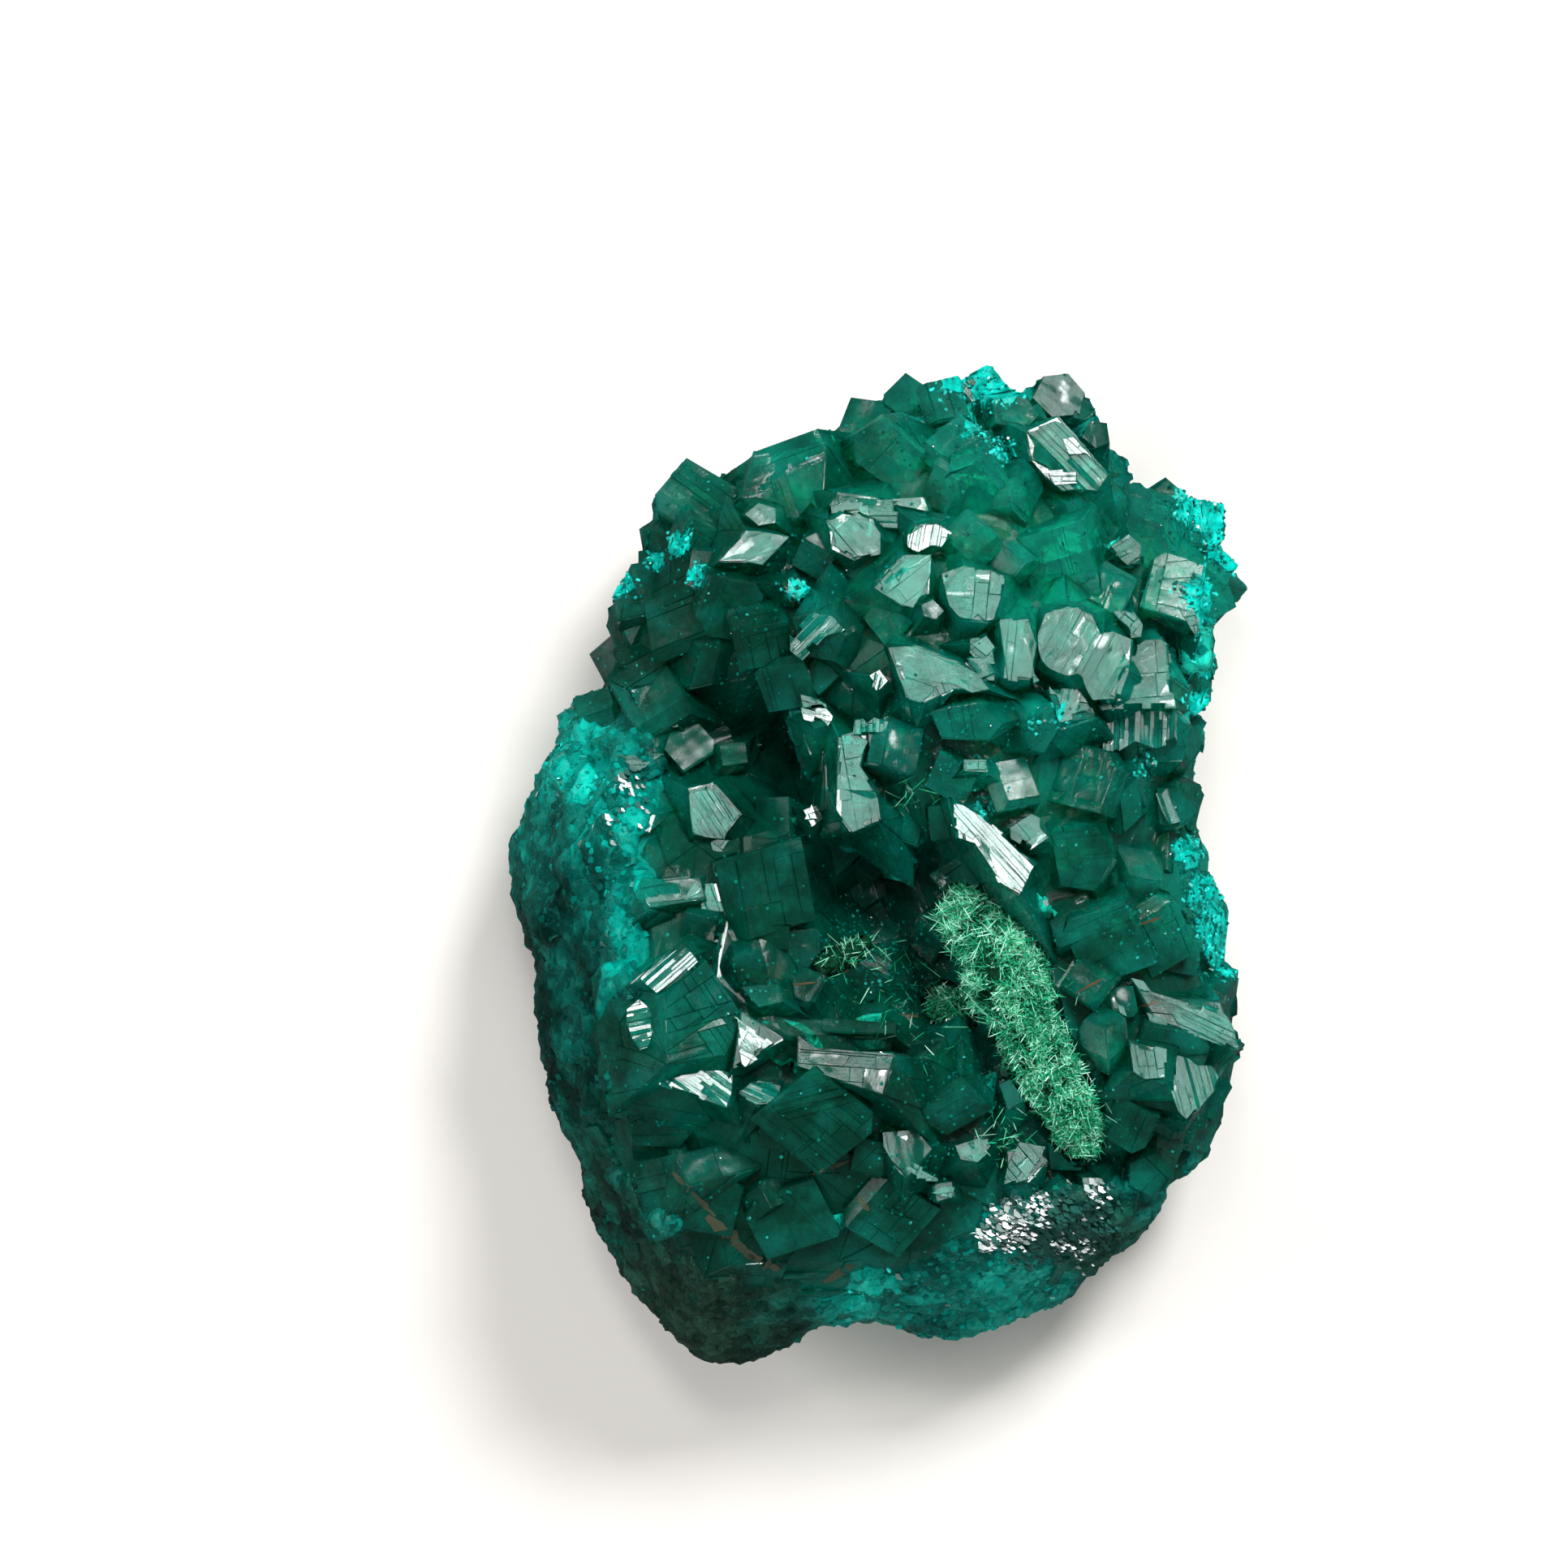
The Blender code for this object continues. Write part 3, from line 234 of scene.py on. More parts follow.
class Recipe:
    """A material's node tree, with short calls for the nodes that this specimen's finishes use."""

    def __init__(self, name):
        self.material = bpy.data.materials.new(name)
        self.material.use_nodes = True
        self.tree = self.material.node_tree
        self.shader = self.tree.nodes["Principled BSDF"]
        self.output = self.tree.nodes["Material Output"]

    def node(self, kind, **inputs):
        """A node with some of its inputs set, or joined to another node's output."""
        made = self.tree.nodes.new(kind)
        for key, value in inputs.items():
            self.give(made, key, value)
        return made

    def give(self, node, key, value):
        """Set one input, by its name or as i and its number, or join it to an output."""
        socket = node.inputs[int(key[1:])] if key[1:].isdigit() and key[0] == "i" else node.inputs[key]
        if isinstance(value, bpy.types.NodeSocket):
            self.tree.links.new(value, socket)
        else:
            socket.default_value = value

    def surface(self, colour, roughness, **others):
        """Give the shader a colour, a roughness and others of its inputs, and return the material."""
        self.give(self.shader, "Base Color", colour)
        self.give(self.shader, "Roughness", roughness)
        for key, value in others.items():
            self.give(self.shader, key.replace("_", " "), value)
        return self.material

    def coordinates(self, kind="Object"):
        """Each point's place on the piece in metres, or its normal."""
        return self.node("ShaderNodeTexCoord").outputs[kind]

    def attribute(self, name):
        """The number kept for each vertex under a name."""
        made = self.node("ShaderNodeAttribute")
        made.attribute_name = name
        return made.outputs["Fac"]

    def mapped(self, source, scale):
        """Coordinates stretched by a scale of three numbers."""
        mapping = self.node("ShaderNodeMapping", Vector=source, Scale=scale)
        return mapping.outputs["Vector"]

    def noise(self, coordinates, scale, detail=3.0, roughness=0.55):
        """A noise value from 0 to 1."""
        made = self.node(
            "ShaderNodeTexNoise", Vector=coordinates, Scale=scale, Detail=detail, Roughness=roughness
        )
        return made.outputs["Fac"]

    def range(self, value, low, high, new_low=0.0, new_high=1.0):
        """A value carried from one range to another, and kept inside it."""
        made = self.node("ShaderNodeMapRange", Value=value)
        made.inputs["From Min"].default_value = low
        made.inputs["From Max"].default_value = high
        made.inputs["To Min"].default_value = new_low
        made.inputs["To Max"].default_value = new_high
        return made.outputs["Result"]

    def math(self, operation, first, second=0.0):
        """One sum of two values."""
        made = self.node("ShaderNodeMath", i0=first, i1=second)
        made.operation = operation
        return made.outputs["Value"]

    def mix(self, share, first, second):
        """Two colours mixed by a share."""
        made = self.tree.nodes.new("ShaderNodeMix")
        made.data_type = "RGBA"
        for socket, value in ((made.inputs[0], share), (made.inputs[6], first), (made.inputs[7], second)):
            if isinstance(value, bpy.types.NodeSocket):
                self.tree.links.new(value, socket)
            else:
                socket.default_value = (*value, 1.0) if isinstance(value, tuple) else value
        return made.outputs[2]

    def vector(self, operation, first, second=None):
        """One sum of a vector alone, of two vectors, or of a vector and a number."""
        made = self.node("ShaderNodeVectorMath", i0=first)
        made.operation = operation
        if second is not None:
            self.give(made, "Scale" if operation == "SCALE" else "i1", second)
        return made.outputs["Vector"]

    def grains(self, coordinates, scale):
        """Angular grains: the distance from a seam, then a number and a colour of each grain's own."""
        seams = self.node("ShaderNodeTexVoronoi", Vector=coordinates, Scale=scale)
        seams.feature = "DISTANCE_TO_EDGE"
        own = self.node("ShaderNodeTexVoronoi", Vector=coordinates, Scale=scale).outputs["Color"]
        number = self.node("ShaderNodeSeparateColor", Color=own).outputs[0]
        return seams.outputs["Distance"], number, own

    def leaned(self, facing, lean, share):
        """A normal leaned by a grain's own colour, which gives the grain a flat face."""
        away = self.vector("SUBTRACT", lean, (0.5, 0.5, 0.5))
        return self.vector("ADD", facing, self.vector("SCALE", away, share))

    def bump(self, height, strength, distance, facing=None):
        """A normal from a height, whose distance is in metres."""
        made = self.node("ShaderNodeBump", Height=height, Strength=strength, Distance=distance)
        if facing:
            self.give(made, "Normal", facing)
        return made.outputs["Normal"]


recipe = Recipe("massive dioptase")
place = recipe.coordinates()
clouding = recipe.noise(place, 420.0, 4.0, 0.62)
bright = recipe.math("ADD", recipe.attribute("bright"), recipe.range(clouding, 0.3, 0.7, -0.4, 0.35))
deep = recipe.mix(recipe.range(bright, 0.0, 0.5), DEEP_GREEN, SEA_GREEN)
colour = recipe.mix(recipe.range(bright, 0.5, 1.05), deep, TURQUOISE)
# Painted glow: where the crystals cover it, the mineral is coloured far brighter than where it is bare.
painted_glow = recipe.mix(recipe.range(bright, 0.0, 1.0), *PAINTED_GLOW_TONES)
colour = recipe.mix(recipe.attribute("veiled"), colour, painted_glow)
stone = recipe.mix(recipe.noise(place, 900.0, 4.0, 0.7), *STONY)
colour = recipe.mix(recipe.range(recipe.attribute("grey"), 0.25, 0.85), colour, stone)
seam, number, lean = recipe.grains(recipe.mapped(place, (1.0, 0.6, 0.8)), 1150.0)
_, small_number, small_lean = recipe.grains(place, 2900.0)
seams = recipe.range(seam, 0.0, 0.06, 0.72, 1.0)
shade = recipe.math("MULTIPLY", seams, recipe.range(number, 0.0, 1.0, 0.6, 1.5))
shade = recipe.math("MULTIPLY", shade, recipe.range(small_number, 0.0, 1.0, 0.7, 1.35))
colour = recipe.vector("SCALE", colour, shade)
sugar = recipe.noise(place, 3600.0, 3.0, 0.7)
# Painted glints: specks of the fine noise are coloured pale turquoise, most where the mineral is bright.
painted_glint_strength = recipe.range(bright, 0.0, 0.6, 0.2, 1.0)
painted_glints = recipe.math("MULTIPLY", recipe.range(sugar, 0.62, 0.8, 0.0, 0.6), painted_glint_strength)
colour = recipe.mix(painted_glints, colour, PAINTED_GLINT_COLOUR)
facing = recipe.leaned(recipe.coordinates("Normal"), lean, 0.8)
facing = recipe.vector("NORMALIZE", recipe.leaned(facing, small_lean, 0.5))
massive.data.materials.append(recipe.surface(
    colour, recipe.range(small_number, 0.0, 1.0, 0.12, 0.4), Specular_IOR_Level=MASSIVE_SPECULAR,
    Normal=recipe.bump(sugar, 0.7, 0.12 * MM, facing),
))
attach(massive, "root")
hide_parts("dioptase_cluster")


# Crystals
# Short six-sided crystals of clear emerald dioptase, grown together. Their faces are a mosaic of low
# plates where one layer stopped growing over another, finely striated, with every edge a little worn.
FLAT_WITHIN = math.radians(1.2)
STEPPED_AREA = 0.7 * MM * MM
STEPPED_ABOVE = 4 * MM
NEAR_CORNER = 0.02 * MM
PLATE_AREAS = (0.5 * MM * MM, 3.0 * MM * MM)
MOST_CUTS = 60
SMALLEST_PLATE = 0.04 * MM * MM
PLATE_HEIGHTS = (0.02 * MM, 0.09 * MM)
PLATE_STEPS = (0.3, 0.6, 1.0, 1.2)
PLATE_RISER = 0.02 * MM
PLATE_TILT = math.radians(0.9)
ODD_PLATES = (0.08, 0.45)
ODD_TILT = math.radians(7.0)
EDGE_ROUNDING = 0.03 * MM
EDGE_SHARPER_THAN = math.radians(24)
EMERALD_IOR = 1.66
ABSORBED_COLOUR = (0.0, 0.935, 0.885)
ABSORBED_DENSITY = 3500.0
EMERALD = ((0.0, 0.20, 0.125), (0.01, 0.96, 0.74))
# Rings of rays that feel for the sky over each vertex, for the painted cleft shade: degrees from straight
# up, and how many rays.
SKY_RINGS = ((20, 4), (50, 6), (72, 6))
SKY_REACH = 3.0 * MM
RAY_LIFT = 0.08 * MM


def longest_edge_direction(face):
    """The direction of a face's longest edge."""
    edge = max(face.edges, key=lambda item: item.calc_length())
    return (edge.verts[1].co - edge.verts[0].co).normalized()


def part_plate(cell, point, across):
    """Part a plate in two along a line through a point, and return the new half, or None."""
    sides = {vertex: (vertex.co - point).dot(across) for vertex in cell.verts}
    crossed = [
        edge for edge in cell.edges
        if sides[edge.verts[0]] * sides[edge.verts[1]] < 0
        and min(abs(sides[edge.verts[0]]), abs(sides[edge.verts[1]])) > NEAR_CORNER
    ]
    if len(crossed) != 2 or any(abs(value) <= NEAR_CORNER for value in sides.values()):
        return None
    ends = []
    for edge in crossed:
        first = edge.verts[0]
        share = sides[first] / (sides[first] - sides[edge.other_vert(first)])
        ends.append(bmesh.utils.edge_split(edge, first, share)[1])
    return bmesh.utils.face_split(cell, *ends)[0]


def mosaic(face, dice):
    """Part a face along its own crystal directions into larger and smaller plates, like brickwork."""
    along = longest_edge_direction(face)
    normal = face.normal.copy()
    slanting = Matrix.Rotation(math.radians(dice.choice((60, 72, 110))), 3, normal) @ along
    directions = (normal.cross(along), along, normal.cross(slanting))
    plates = [face]
    wanted = dice.uniform(*PLATE_AREAS)
    for _ in range(MOST_CUTS):
        plate = max(plates, key=lambda item: item.calc_area())
        if plate.calc_area() < wanted:
            break
        across = dice.choices(directions, (0.5, 0.35, 0.15))[0]
        reach = [vertex.co.dot(across) for vertex in plate.verts]
        share = dice.choice((dice.uniform(0.12, 0.3), dice.uniform(0.35, 0.65), dice.uniform(0.7, 0.88)))
        level = min(reach) + share * (max(reach) - min(reach))
        middle = plate.calc_center_median()
        half = part_plate(plate, middle + across * (level - middle.dot(across)), across)
        if half is not None:
            plates.append(half)
    return plates


dice = random.Random(11)
bm = merged_copy("dioptase_cluster")
bmesh.ops.dissolve_limit(
    bm, angle_limit=FLAT_WITHIN, use_dissolve_boundaries=False, verts=bm.verts, edges=bm.edges
)
stepped = [
    face for face in bm.faces
    if face.calc_area() > STEPPED_AREA and face.normal.z > -0.2
    and face.calc_center_median().z > STEPPED_ABOVE
]
raised = []
for face in stepped:
    facing = face.normal.copy()
    level = dice.uniform(*PLATE_HEIGHTS)
    odd_share = dice.uniform(*ODD_PLATES)
    whole = face.calc_area()
    for plate in mosaic(face, dice):
        if plate.calc_area() > SMALLEST_PLATE:
            odd = dice.random() < odd_share and plate.calc_area() < 0.3 * whole
            tilt = ODD_TILT * dice.uniform(0.6, 1.5) if odd else PLATE_TILT
            raised.append((plate, facing, level * dice.choice(PLATE_STEPS), tilt))
bmesh.ops.inset_individual(bm, faces=[row[0] for row in raised], thickness=PLATE_RISER)
for plate, facing, height, tilt in raised:
    middle = plate.calc_center_median()
    lean = Vector((dice.gauss(0, 1), dice.gauss(0, 1), dice.gauss(0, 1)))
    lean = (lean - facing * lean.dot(facing)).normalized()
    slope = math.tan(dice.choice((-1, 1)) * dice.uniform(0.5, 1.3) * tilt)
    for vertex in plate.verts:
        vertex.co += facing * (height + max(-height, (vertex.co - middle).dot(lean) * slope))
crystals = new_object("crystals", mesh_of(bm, "crystals"))
rounding = crystals.modifiers.new("rounded edges", "BEVEL")
rounding.width = EDGE_ROUNDING
rounding.segments = 1
rounding.limit_method = "ANGLE"
rounding.angle_limit = EDGE_SHARPER_THAN
finished(crystals)


def grain_map(piece, seed):
    """A UV map in millimetres whose U runs along each face's longest edge, so that striae follow it.

    Faces that lie the same way share one start, so the striae run on from plate to plate.
    """
    bm = bmesh.new()
    bm.from_mesh(piece.data)
    layer = bm.loops.layers.uv.new("grain")
    for face in bm.faces:
        if face.calc_area() == 0:
            continue
        along = longest_edge_direction(face)
        across = face.normal.cross(along)
        plane = round(face.normal.x * 9) + 97 * round(face.normal.y * 9) + 9403 * round(face.normal.z * 9)
        start = random.Random(seed + plane)
        shift_u, shift_v = start.uniform(0, 90), start.uniform(0, 90)
        for loop in face.loops:
            place = loop.vert.co / MM
            loop[layer].uv = (place.dot(along) + shift_u, place.dot(across) + shift_v)
    bm.to_mesh(piece.data)
    bm.free()


grain_map(crystals, 5)


def direction_at(from_zenith, turn):
    """The direction at an angle from straight up, turned about it from +X, both in degrees."""
    tilt, around = math.radians(from_zenith), math.radians(turn)
    return Vector((math.sin(tilt) * math.cos(around), math.sin(tilt) * math.sin(around), math.cos(tilt)))


def painted_shade_openness(piece, reach):
    """How much of the sky each vertex sees, from 0 in a cleft to 1 on a tip, for the painted cleft shade.
    """
    tree = BVHTree.FromObject(piece, bpy.context.evaluated_depsgraph_get())
    rays = []
    for ring, count in SKY_RINGS:
        for step in range(count):
            rays.append(direction_at(ring, 360 * (step + ring / 90) / count))
    seen = []
    for vertex in piece.data.vertices:
        start = vertex.co + vertex.normal * RAY_LIFT
        seen.append(sum(1 for ray in rays if tree.ray_cast(start, ray, reach)[0] is None) / len(rays))
    return np.array(seen)


# The zones also set the crystals' colour: partly the mineral's tone, partly a painted glow and shade.
mark(crystals.data, "bright", zone_values(places_of(crystals.data))[0])
# Painted cleft shade: how much sky each vertex sees darkens its colour in the clefts.
mark(crystals.data, "open", painted_shade_openness(crystals, SKY_REACH))


def crystal_finish(name, solid_share, ruled_share=1.0):
    """Clear emerald mineral, finely ruled and partly clouded, that absorbs red light on its way through."""
    recipe = Recipe(name)
    grain_node = recipe.node("ShaderNodeUVMap")
    grain_node.uv_map = "grain"
    grain = grain_node.outputs["UV"]
    ruling = recipe.noise(recipe.mapped(grain, (0.30, 5.0, 1.0)), 1.0, 5.0, 0.65)
    terraces = recipe.noise(recipe.mapped(grain, (1.0, 1.7, 1.0)), 1.3, 3.0, 0.55)
    speckle = recipe.noise(grain, 14.0, 2.0, 0.6)
    patches = recipe.noise(recipe.mapped(grain, (0.5, 0.8, 1.0)), 0.8, 2.0)
    ruled = recipe.math("MULTIPLY", recipe.math("SNAP", ruling, 0.035), recipe.range(patches, 0.4, 0.6))
    ruled = recipe.math("MULTIPLY", ruled, ruled_share)
    height = recipe.math("ADD", ruled, recipe.math("SNAP", terraces, 0.07))
    height = recipe.math("ADD", height, recipe.math("MULTIPLY", speckle, 0.018))
    veils = recipe.noise(recipe.coordinates(), 700.0, 4.0, 0.6)
    bright = recipe.math("ADD", recipe.attribute("bright"), recipe.range(veils, 0.3, 0.7, -0.35, 0.35))
    # Painted shade: the colour darkens in the clefts, where a vertex sees little sky.
    sky = recipe.range(recipe.attribute("open"), 0.1, 0.8, 0.15, 1.0)
    bright = recipe.math("MULTIPLY", bright, sky)
    absorption = recipe.node(
        "ShaderNodeVolumeAbsorption", Color=(*ABSORBED_COLOUR, 1.0), Density=ABSORBED_DENSITY
    )
    recipe.give(recipe.output, "Volume", absorption.outputs["Volume"])
    return recipe.surface(
        recipe.mix(recipe.range(bright, 0.0, 1.0), *EMERALD), recipe.range(patches, 0.3, 0.75, 0.04, 0.16),
        Normal=recipe.bump(height, 0.45, 0.10 * MM), Transmission_Weight=1.0 - solid_share, IOR=EMERALD_IOR,
    )


crystals.data.materials.append(crystal_finish("dioptase crystal", 0.14))
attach(crystals, "root")
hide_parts("dioptase_cluster")


# Stepped faces
# The level faces of the crystals that catch the lamps: terraces with ragged, blocky outlines, each a low
# block of the same mineral on its crystal, ruled into ribs of which a few lean away and stay dark.
# A face that leans more than MIRRORING_LEAN degrees mirrors the glint lamp: it is ruled more faintly,
# and its dark ribs lean the other way.
RIB_STEP = 0.05 * MM
RIB_HEIGHTS = (0.2, 0.6, 1.0, 1.6)
RIB_GROOVES = (0.012 * MM, 0.03 * MM)
SMALLEST_RIB = 0.004 * MM * MM
CROSSED_RIBS = 0.6
DARK_RIB_LEAN = (5.0, 11.0)
MIRRORING_LEAN = 9.2
# In millimetres, as the outlines are: the notches in their sides, and how wide a dark rib may be.
NOTCH_LENGTH = 0.4
NOTCH_DEPTH = 0.095
FINE_RIB = 0.3
# Each face: the height of its middle and its depth in millimetres, its lean and the direction of that,
# the direction and width of its ribs, the share of dark ribs, then the corners of its outline.
STEPPED_FACES = (
    ((14.65, 0.45, 5.2, 84, -70, 0.5, 0), ((-6.45, -0.7), (-6.05, -0.65), (-5.75, -1.7), (-6.5, -1.6))),
    ((15.1, 0.5, 12, -60, -80, 0.6, 0), (
        (-5.85, -1.95), (-6.02, -3.0), (-6.15, -3.8), (-6.05, -4.3), (-5.65, -4.85), (-5.52, -4.7),
        (-5.85, -4.2), (-5.94, -3.8), (-5.82, -3.0), (-5.66, -1.95),
    )),
    ((16.6, 0.5, 9.5, 101, -30, 0.5, 0), ((-5.3, -5.4), (-3.9, -6.3), (-5.05, -7.05))),
    ((15.02, 0.5, 8, -60, 10, 0.5, 0), (
        (-8.73, -1.36), (-8.13, -1.61), (-7.13, -1.26), (-7.33, -0.66), (-8.63, -0.56),
    )),
    ((15.22, 1.2, 5.3, 94, 62, 0.42, 0.06), (
        (5.52, 7.64), (5.62, 7.29), (5.9, 6.98), (6.25, 6.81), (6.58, 6.71), (6.92, 6.78),
        (7.07, 6.67), (7.21, 6.26), (7.45, 5.85), (7.83, 5.88), (8.23, 5.88), (8.3, 6.09),
        (8.35, 6.61), (8.3, 6.98), (8.65, 7.09), (8.63, 7.43), (8.52, 7.71), (8.4, 8.05), (8.23, 8.27),
        (7.89, 8.27), (7.69, 8.2), (7.62, 8.36), (7.54, 8.6), (7.24, 8.75), (7.13, 9.01), (6.92, 9.17),
        (6.42, 9.1), (6.07, 9.07), (5.83, 8.81), (5.83, 8.53), (5.62, 8.36), (5.48, 8.04),
    )),
    ((13.75, 1.6, 5.4, 96, 5, 0.7, 0.05), (
        (8.27, 6.34), (8.17, 5.88), (7.66, 5.64), (7.83, 5.5), (8.23, 5.54), (10.47, 5.57),
        (10.27, 6.61), (10.12, 7.36), (10.12, 7.84), (9.96, 8.04), (9.34, 8.02), (9.1, 7.78),
        (9.03, 7.47), (8.63, 7.43), (8.37, 7.04),
    )),
    ((14.73, 0.45, 5.6, 93, 80, 0.6, 0), (
        (6.17, 6.05), (6.35, 5.57), (6.32, 5.06), (7.52, 5.37), (7.13, 5.99), (6.92, 6.26), (5.94, 6.3),
    )),
    ((13.42, 1.02, 5.2, 96, 50, 0.4, 0.1), (
        (8.45, 8.74), (8.83, 8.43), (8.86, 8.08), (9.23, 8.12), (9.3, 8.57), (9.13, 8.81),
        (8.71, 9.08), (8.23, 9.05),
    )),
    ((12.75, 0.9, 5.7, 96, 88, 0.14, 0.55), (
        (7.67, 3.59), (8.46, 4.04), (9.06, 4.39), (9.77, 4.14), (10.56, 4.34), (10.42, 5.49),
        (7.71, 5.44),
    )),
    ((16.42, 0.6, 11.2, 98, 41, 0.1, 0.45), (
        (-8.04, -4.57), (-7.43, -4.09), (-6.62, -3.36), (-6.96, -2.92), (-7.43, -3.04), (-8.15, -3.57),
        (-8.63, -4.05),
    )),
    ((16.3, 0.9, 11.4, 96, 12, 0.14, 0.4), (
        (-9.12, -5.61), (-8.91, -6.18), (-8.63, -6.58), (-8.36, -6.5), (-8.15, -5.85), (-8.15, -5.29),
        (-8.44, -4.97), (-8.67, -4.77), (-9.12, -5.13),
    )),
    ((15.95, 0.8, 11.7, 97, -35, 0.14, 0.4), (
        (-7.92, -7.86), (-6.54, -8.3), (-5.58, -8.63), (-5.38, -8.02), (-5.34, -7.46), (-5.79, -7.3),
        (-5.9, -6.9), (-6.3, -7.14), (-6.62, -7.42), (-7.83, -7.54), (-8, -7.7),
    )),
    ((15.57, 0.45, 7.3, 82, -25, 0.1, 0.35), (
        (-4.38, -8.47), (-3.74, -8.43), (-3.62, -8.18), (-3.97, -7.74), (-4.71, -7.74), (-5.14, -8.14),
    )),
    ((14.97, 0.45, 5.1, 86, 38, 0.5, 0.1), (
        (-0.02, 9.71), (0.59, 9.26), (1.07, 9.14), (1.42, 9.71), (1.71, 10.42), (1.66, 11.02),
        (0.71, 11.02), (-0.12, 10.2),
    )),
    ((15.26, 0.45, 5.1, 89, 85, 0.7, 0.08), (
        (2.22, 9.69), (2.34, 9.2), (2.71, 8.78), (3.13, 8.72), (3.37, 8.9), (3.62, 8.66), (3.92, 8.72),
        (4.17, 9.44), (4.25, 10.24), (3.87, 10.48), (2.83, 10.48), (2.46, 10.24),
    )),
    ((15.34, 0.45, 5.3, 91, 84, 0.5, 0.05), (
        (4.29, 7.5), (4.42, 6.54), (5.32, 6.42), (5.57, 6.54), (5.38, 6.78), (5.2, 7.74), (5.25, 8.66),
        (5.02, 8.74), (4.13, 8.62),
    )),
    ((15.82, 0.45, 5.4, 87, -20, 0.9, 0.04), (
        (0.59, 6.54), (0.9, 5.87), (1.31, 5.75), (1.69, 6.05), (1.93, 6.48), (2.47, 6.42),
        (3.13, 6.11), (3.75, 6.23), (3.38, 6.78), (2.71, 7.14), (2.04, 7.32), (1.2, 7.74),
        (0.71, 7.77), (0.28, 7.69),
    )),
    ((15.3, 0.7, 5.3, 89, -40, 0.35, 0.1), (
        (3.07, 7.54), (3.51, 7.09), (3.96, 7.14), (3.87, 7.74), (3.37, 8.09), (3.07, 8.04),
    )),
    ((15.3, 0.7, 5.4, 89, -40, 0.35, 0.1), (
        (2.87, 6.94), (3.46, 6.54), (3.96, 6.54), (3.96, 6.79), (3.26, 7.09), (2.92, 7.24),
    )),
    ((13, 0.6, 4.8, 83, 0, 0.5, 0.1), (
        (-1.83, 12.54), (-0.83, 12.59), (-0.29, 12.34), (0.02, 12.04), (0.54, 12.01), (0.54, 13),
        (-1.21, 13.05), (-1.86, 12.77),
    )),
    ((13.72, 0.45, 4.9, 83, -50, 0.9, 0), (
        (-1.77, 11.4), (-1.11, 10.93), (-0.08, 11.16), (-0.08, 11.82), (-0.35, 12.2), (-0.83, 12.49),
        (-2.05, 12.39),
    )),
    ((14.6, 0.7, 9.6, 105, 80, 0.18, 0.25), (
        (0.86, 11.3), (1.24, 11.12), (1.72, 11.35), (2.09, 11.3), (2.47, 11.82), (1.91, 12.15),
        (1.53, 12.11), (0.86, 11.73),
    )),
    ((12.15, 0.8, 4.5, 94, -45, 0.25, 0.18), (
        (5.45, 15.09), (5.38, 14.55), (5.95, 14.22), (6.03, 13.72), (6.46, 13.36), (7.04, 13.43),
        (7.69, 13.36), (8.12, 13.97), (7.32, 14.73), (6.96, 15.38), (6.6, 15.74), (6.24, 15.89),
        (5.19, 15.56),
    )),
    ((12.3, 0.5, 9.3, 110, -45, 0.3, 0.12), (
        (6.67, 14.66), (7.32, 14.73), (6.88, 15.31), (6.46, 15.24),
    )),
    ((12.3, 0.5, 9.5, 109, 0, 0.3, 0.12), (
        (6.17, 13.58), (6.96, 13.65), (6.96, 14.08), (5.95, 14.01),
    )),
    ((13.71, 1.8, 10.2, 101, -15, 0.3, 0.08), (
        (-2.83, 5.16), (-1.99, 4.92), (-1.85, 5.07), (-1.77, 5.28), (-2.02, 5.58), (-2.91, 5.58),
    )),
    ((13.12, 1.8, 5.6, 82, -15, 0.4, 0), (
        (-2.87, 5.6), (-2.02, 5.6), (-2.28, 5.91), (-2.95, 6.08),
    )),
    ((14.95, 0.45, 10.1, 103, 75, 0.12, 0.3), (
        (-0.38, 6.33), (-0.22, 6.18), (-0.01, 6.5), (-0.09, 6.76), (-0.3, 6.84),
    )),
    ((14.93, 0.5, 5.7, 85, 88, 0.16, 0.3), (
        (0.26, 4.61), (0.29, 5.07), (-0.34, 5.24), (-0.59, 5.03), (-0.71, 5.2), (-1.02, 5.16),
        (-1.09, 4.63),
    )),
    ((14.79, 0.45, 5.9, 84, -80, 0.8, 0.03), (
        (-1.55, 4.06), (-1.65, 3.22), (-1.67, 2.04), (-1.44, 1.62), (-1.09, 1.15), (-0.09, 1.57),
        (-0.17, 2.29), (-0.51, 3.05), (-0.84, 3.55), (-0.71, 3.98), (-0.51, 4.4), (-1.09, 4.73),
        (-1.51, 4.61),
    )),
    ((15.15, 0.45, 10.9, 105, -48, 0.22, 0.1), (
        (2.51, 1.34), (2.87, 1.09), (3.76, 0.5), (3.87, 0.09), (4.17, -0.66), (4.88, -1.07),
        (5.27, -0.21), (5.29, -0.01), (4.46, 0.8), (3.46, 1.71), (2.87, 2.11), (2.51, 2.19),
    )),
    ((13.14, 1.64, 6.9, 97, -25, 0.28, 0.12), (
        (9.22, -4.57), (9.73, -5.08), (10.34, -5.33), (10.54, -5.74), (10.85, -6.04), (11.76, -6.39),
        (12.71, -6.59), (12.56, -5.89), (12.36, -5.48), (11.86, -5.08), (10.95, -4.98), (10.34, -4.78),
        (9.63, -4.57), (9.33, -4.17), (8.88, -4.07),
    )),
    ((13.19, 0.45, 6.9, 95, -70, 0.5, 0), (
        (8.46, -5.33), (8.75, -5.48), (8.64, -5.08), (8.37, -4.98),
    )),
    ((13.2, 0.77, 6.9, 96, -25, 0.5, 0), (
        (9.54, -5.63), (10.23, -5.94), (10.13, -5.58), (9.43, -5.28),
    )),
    ((14.32, 0.46, 7.1, 95, -80, 0.5, 0.08), (
        (8.83, -6.7), (8.93, -7.4), (9.33, -7.66), (10.04, -7.6), (10.04, -6.54), (8.83, -6.29),
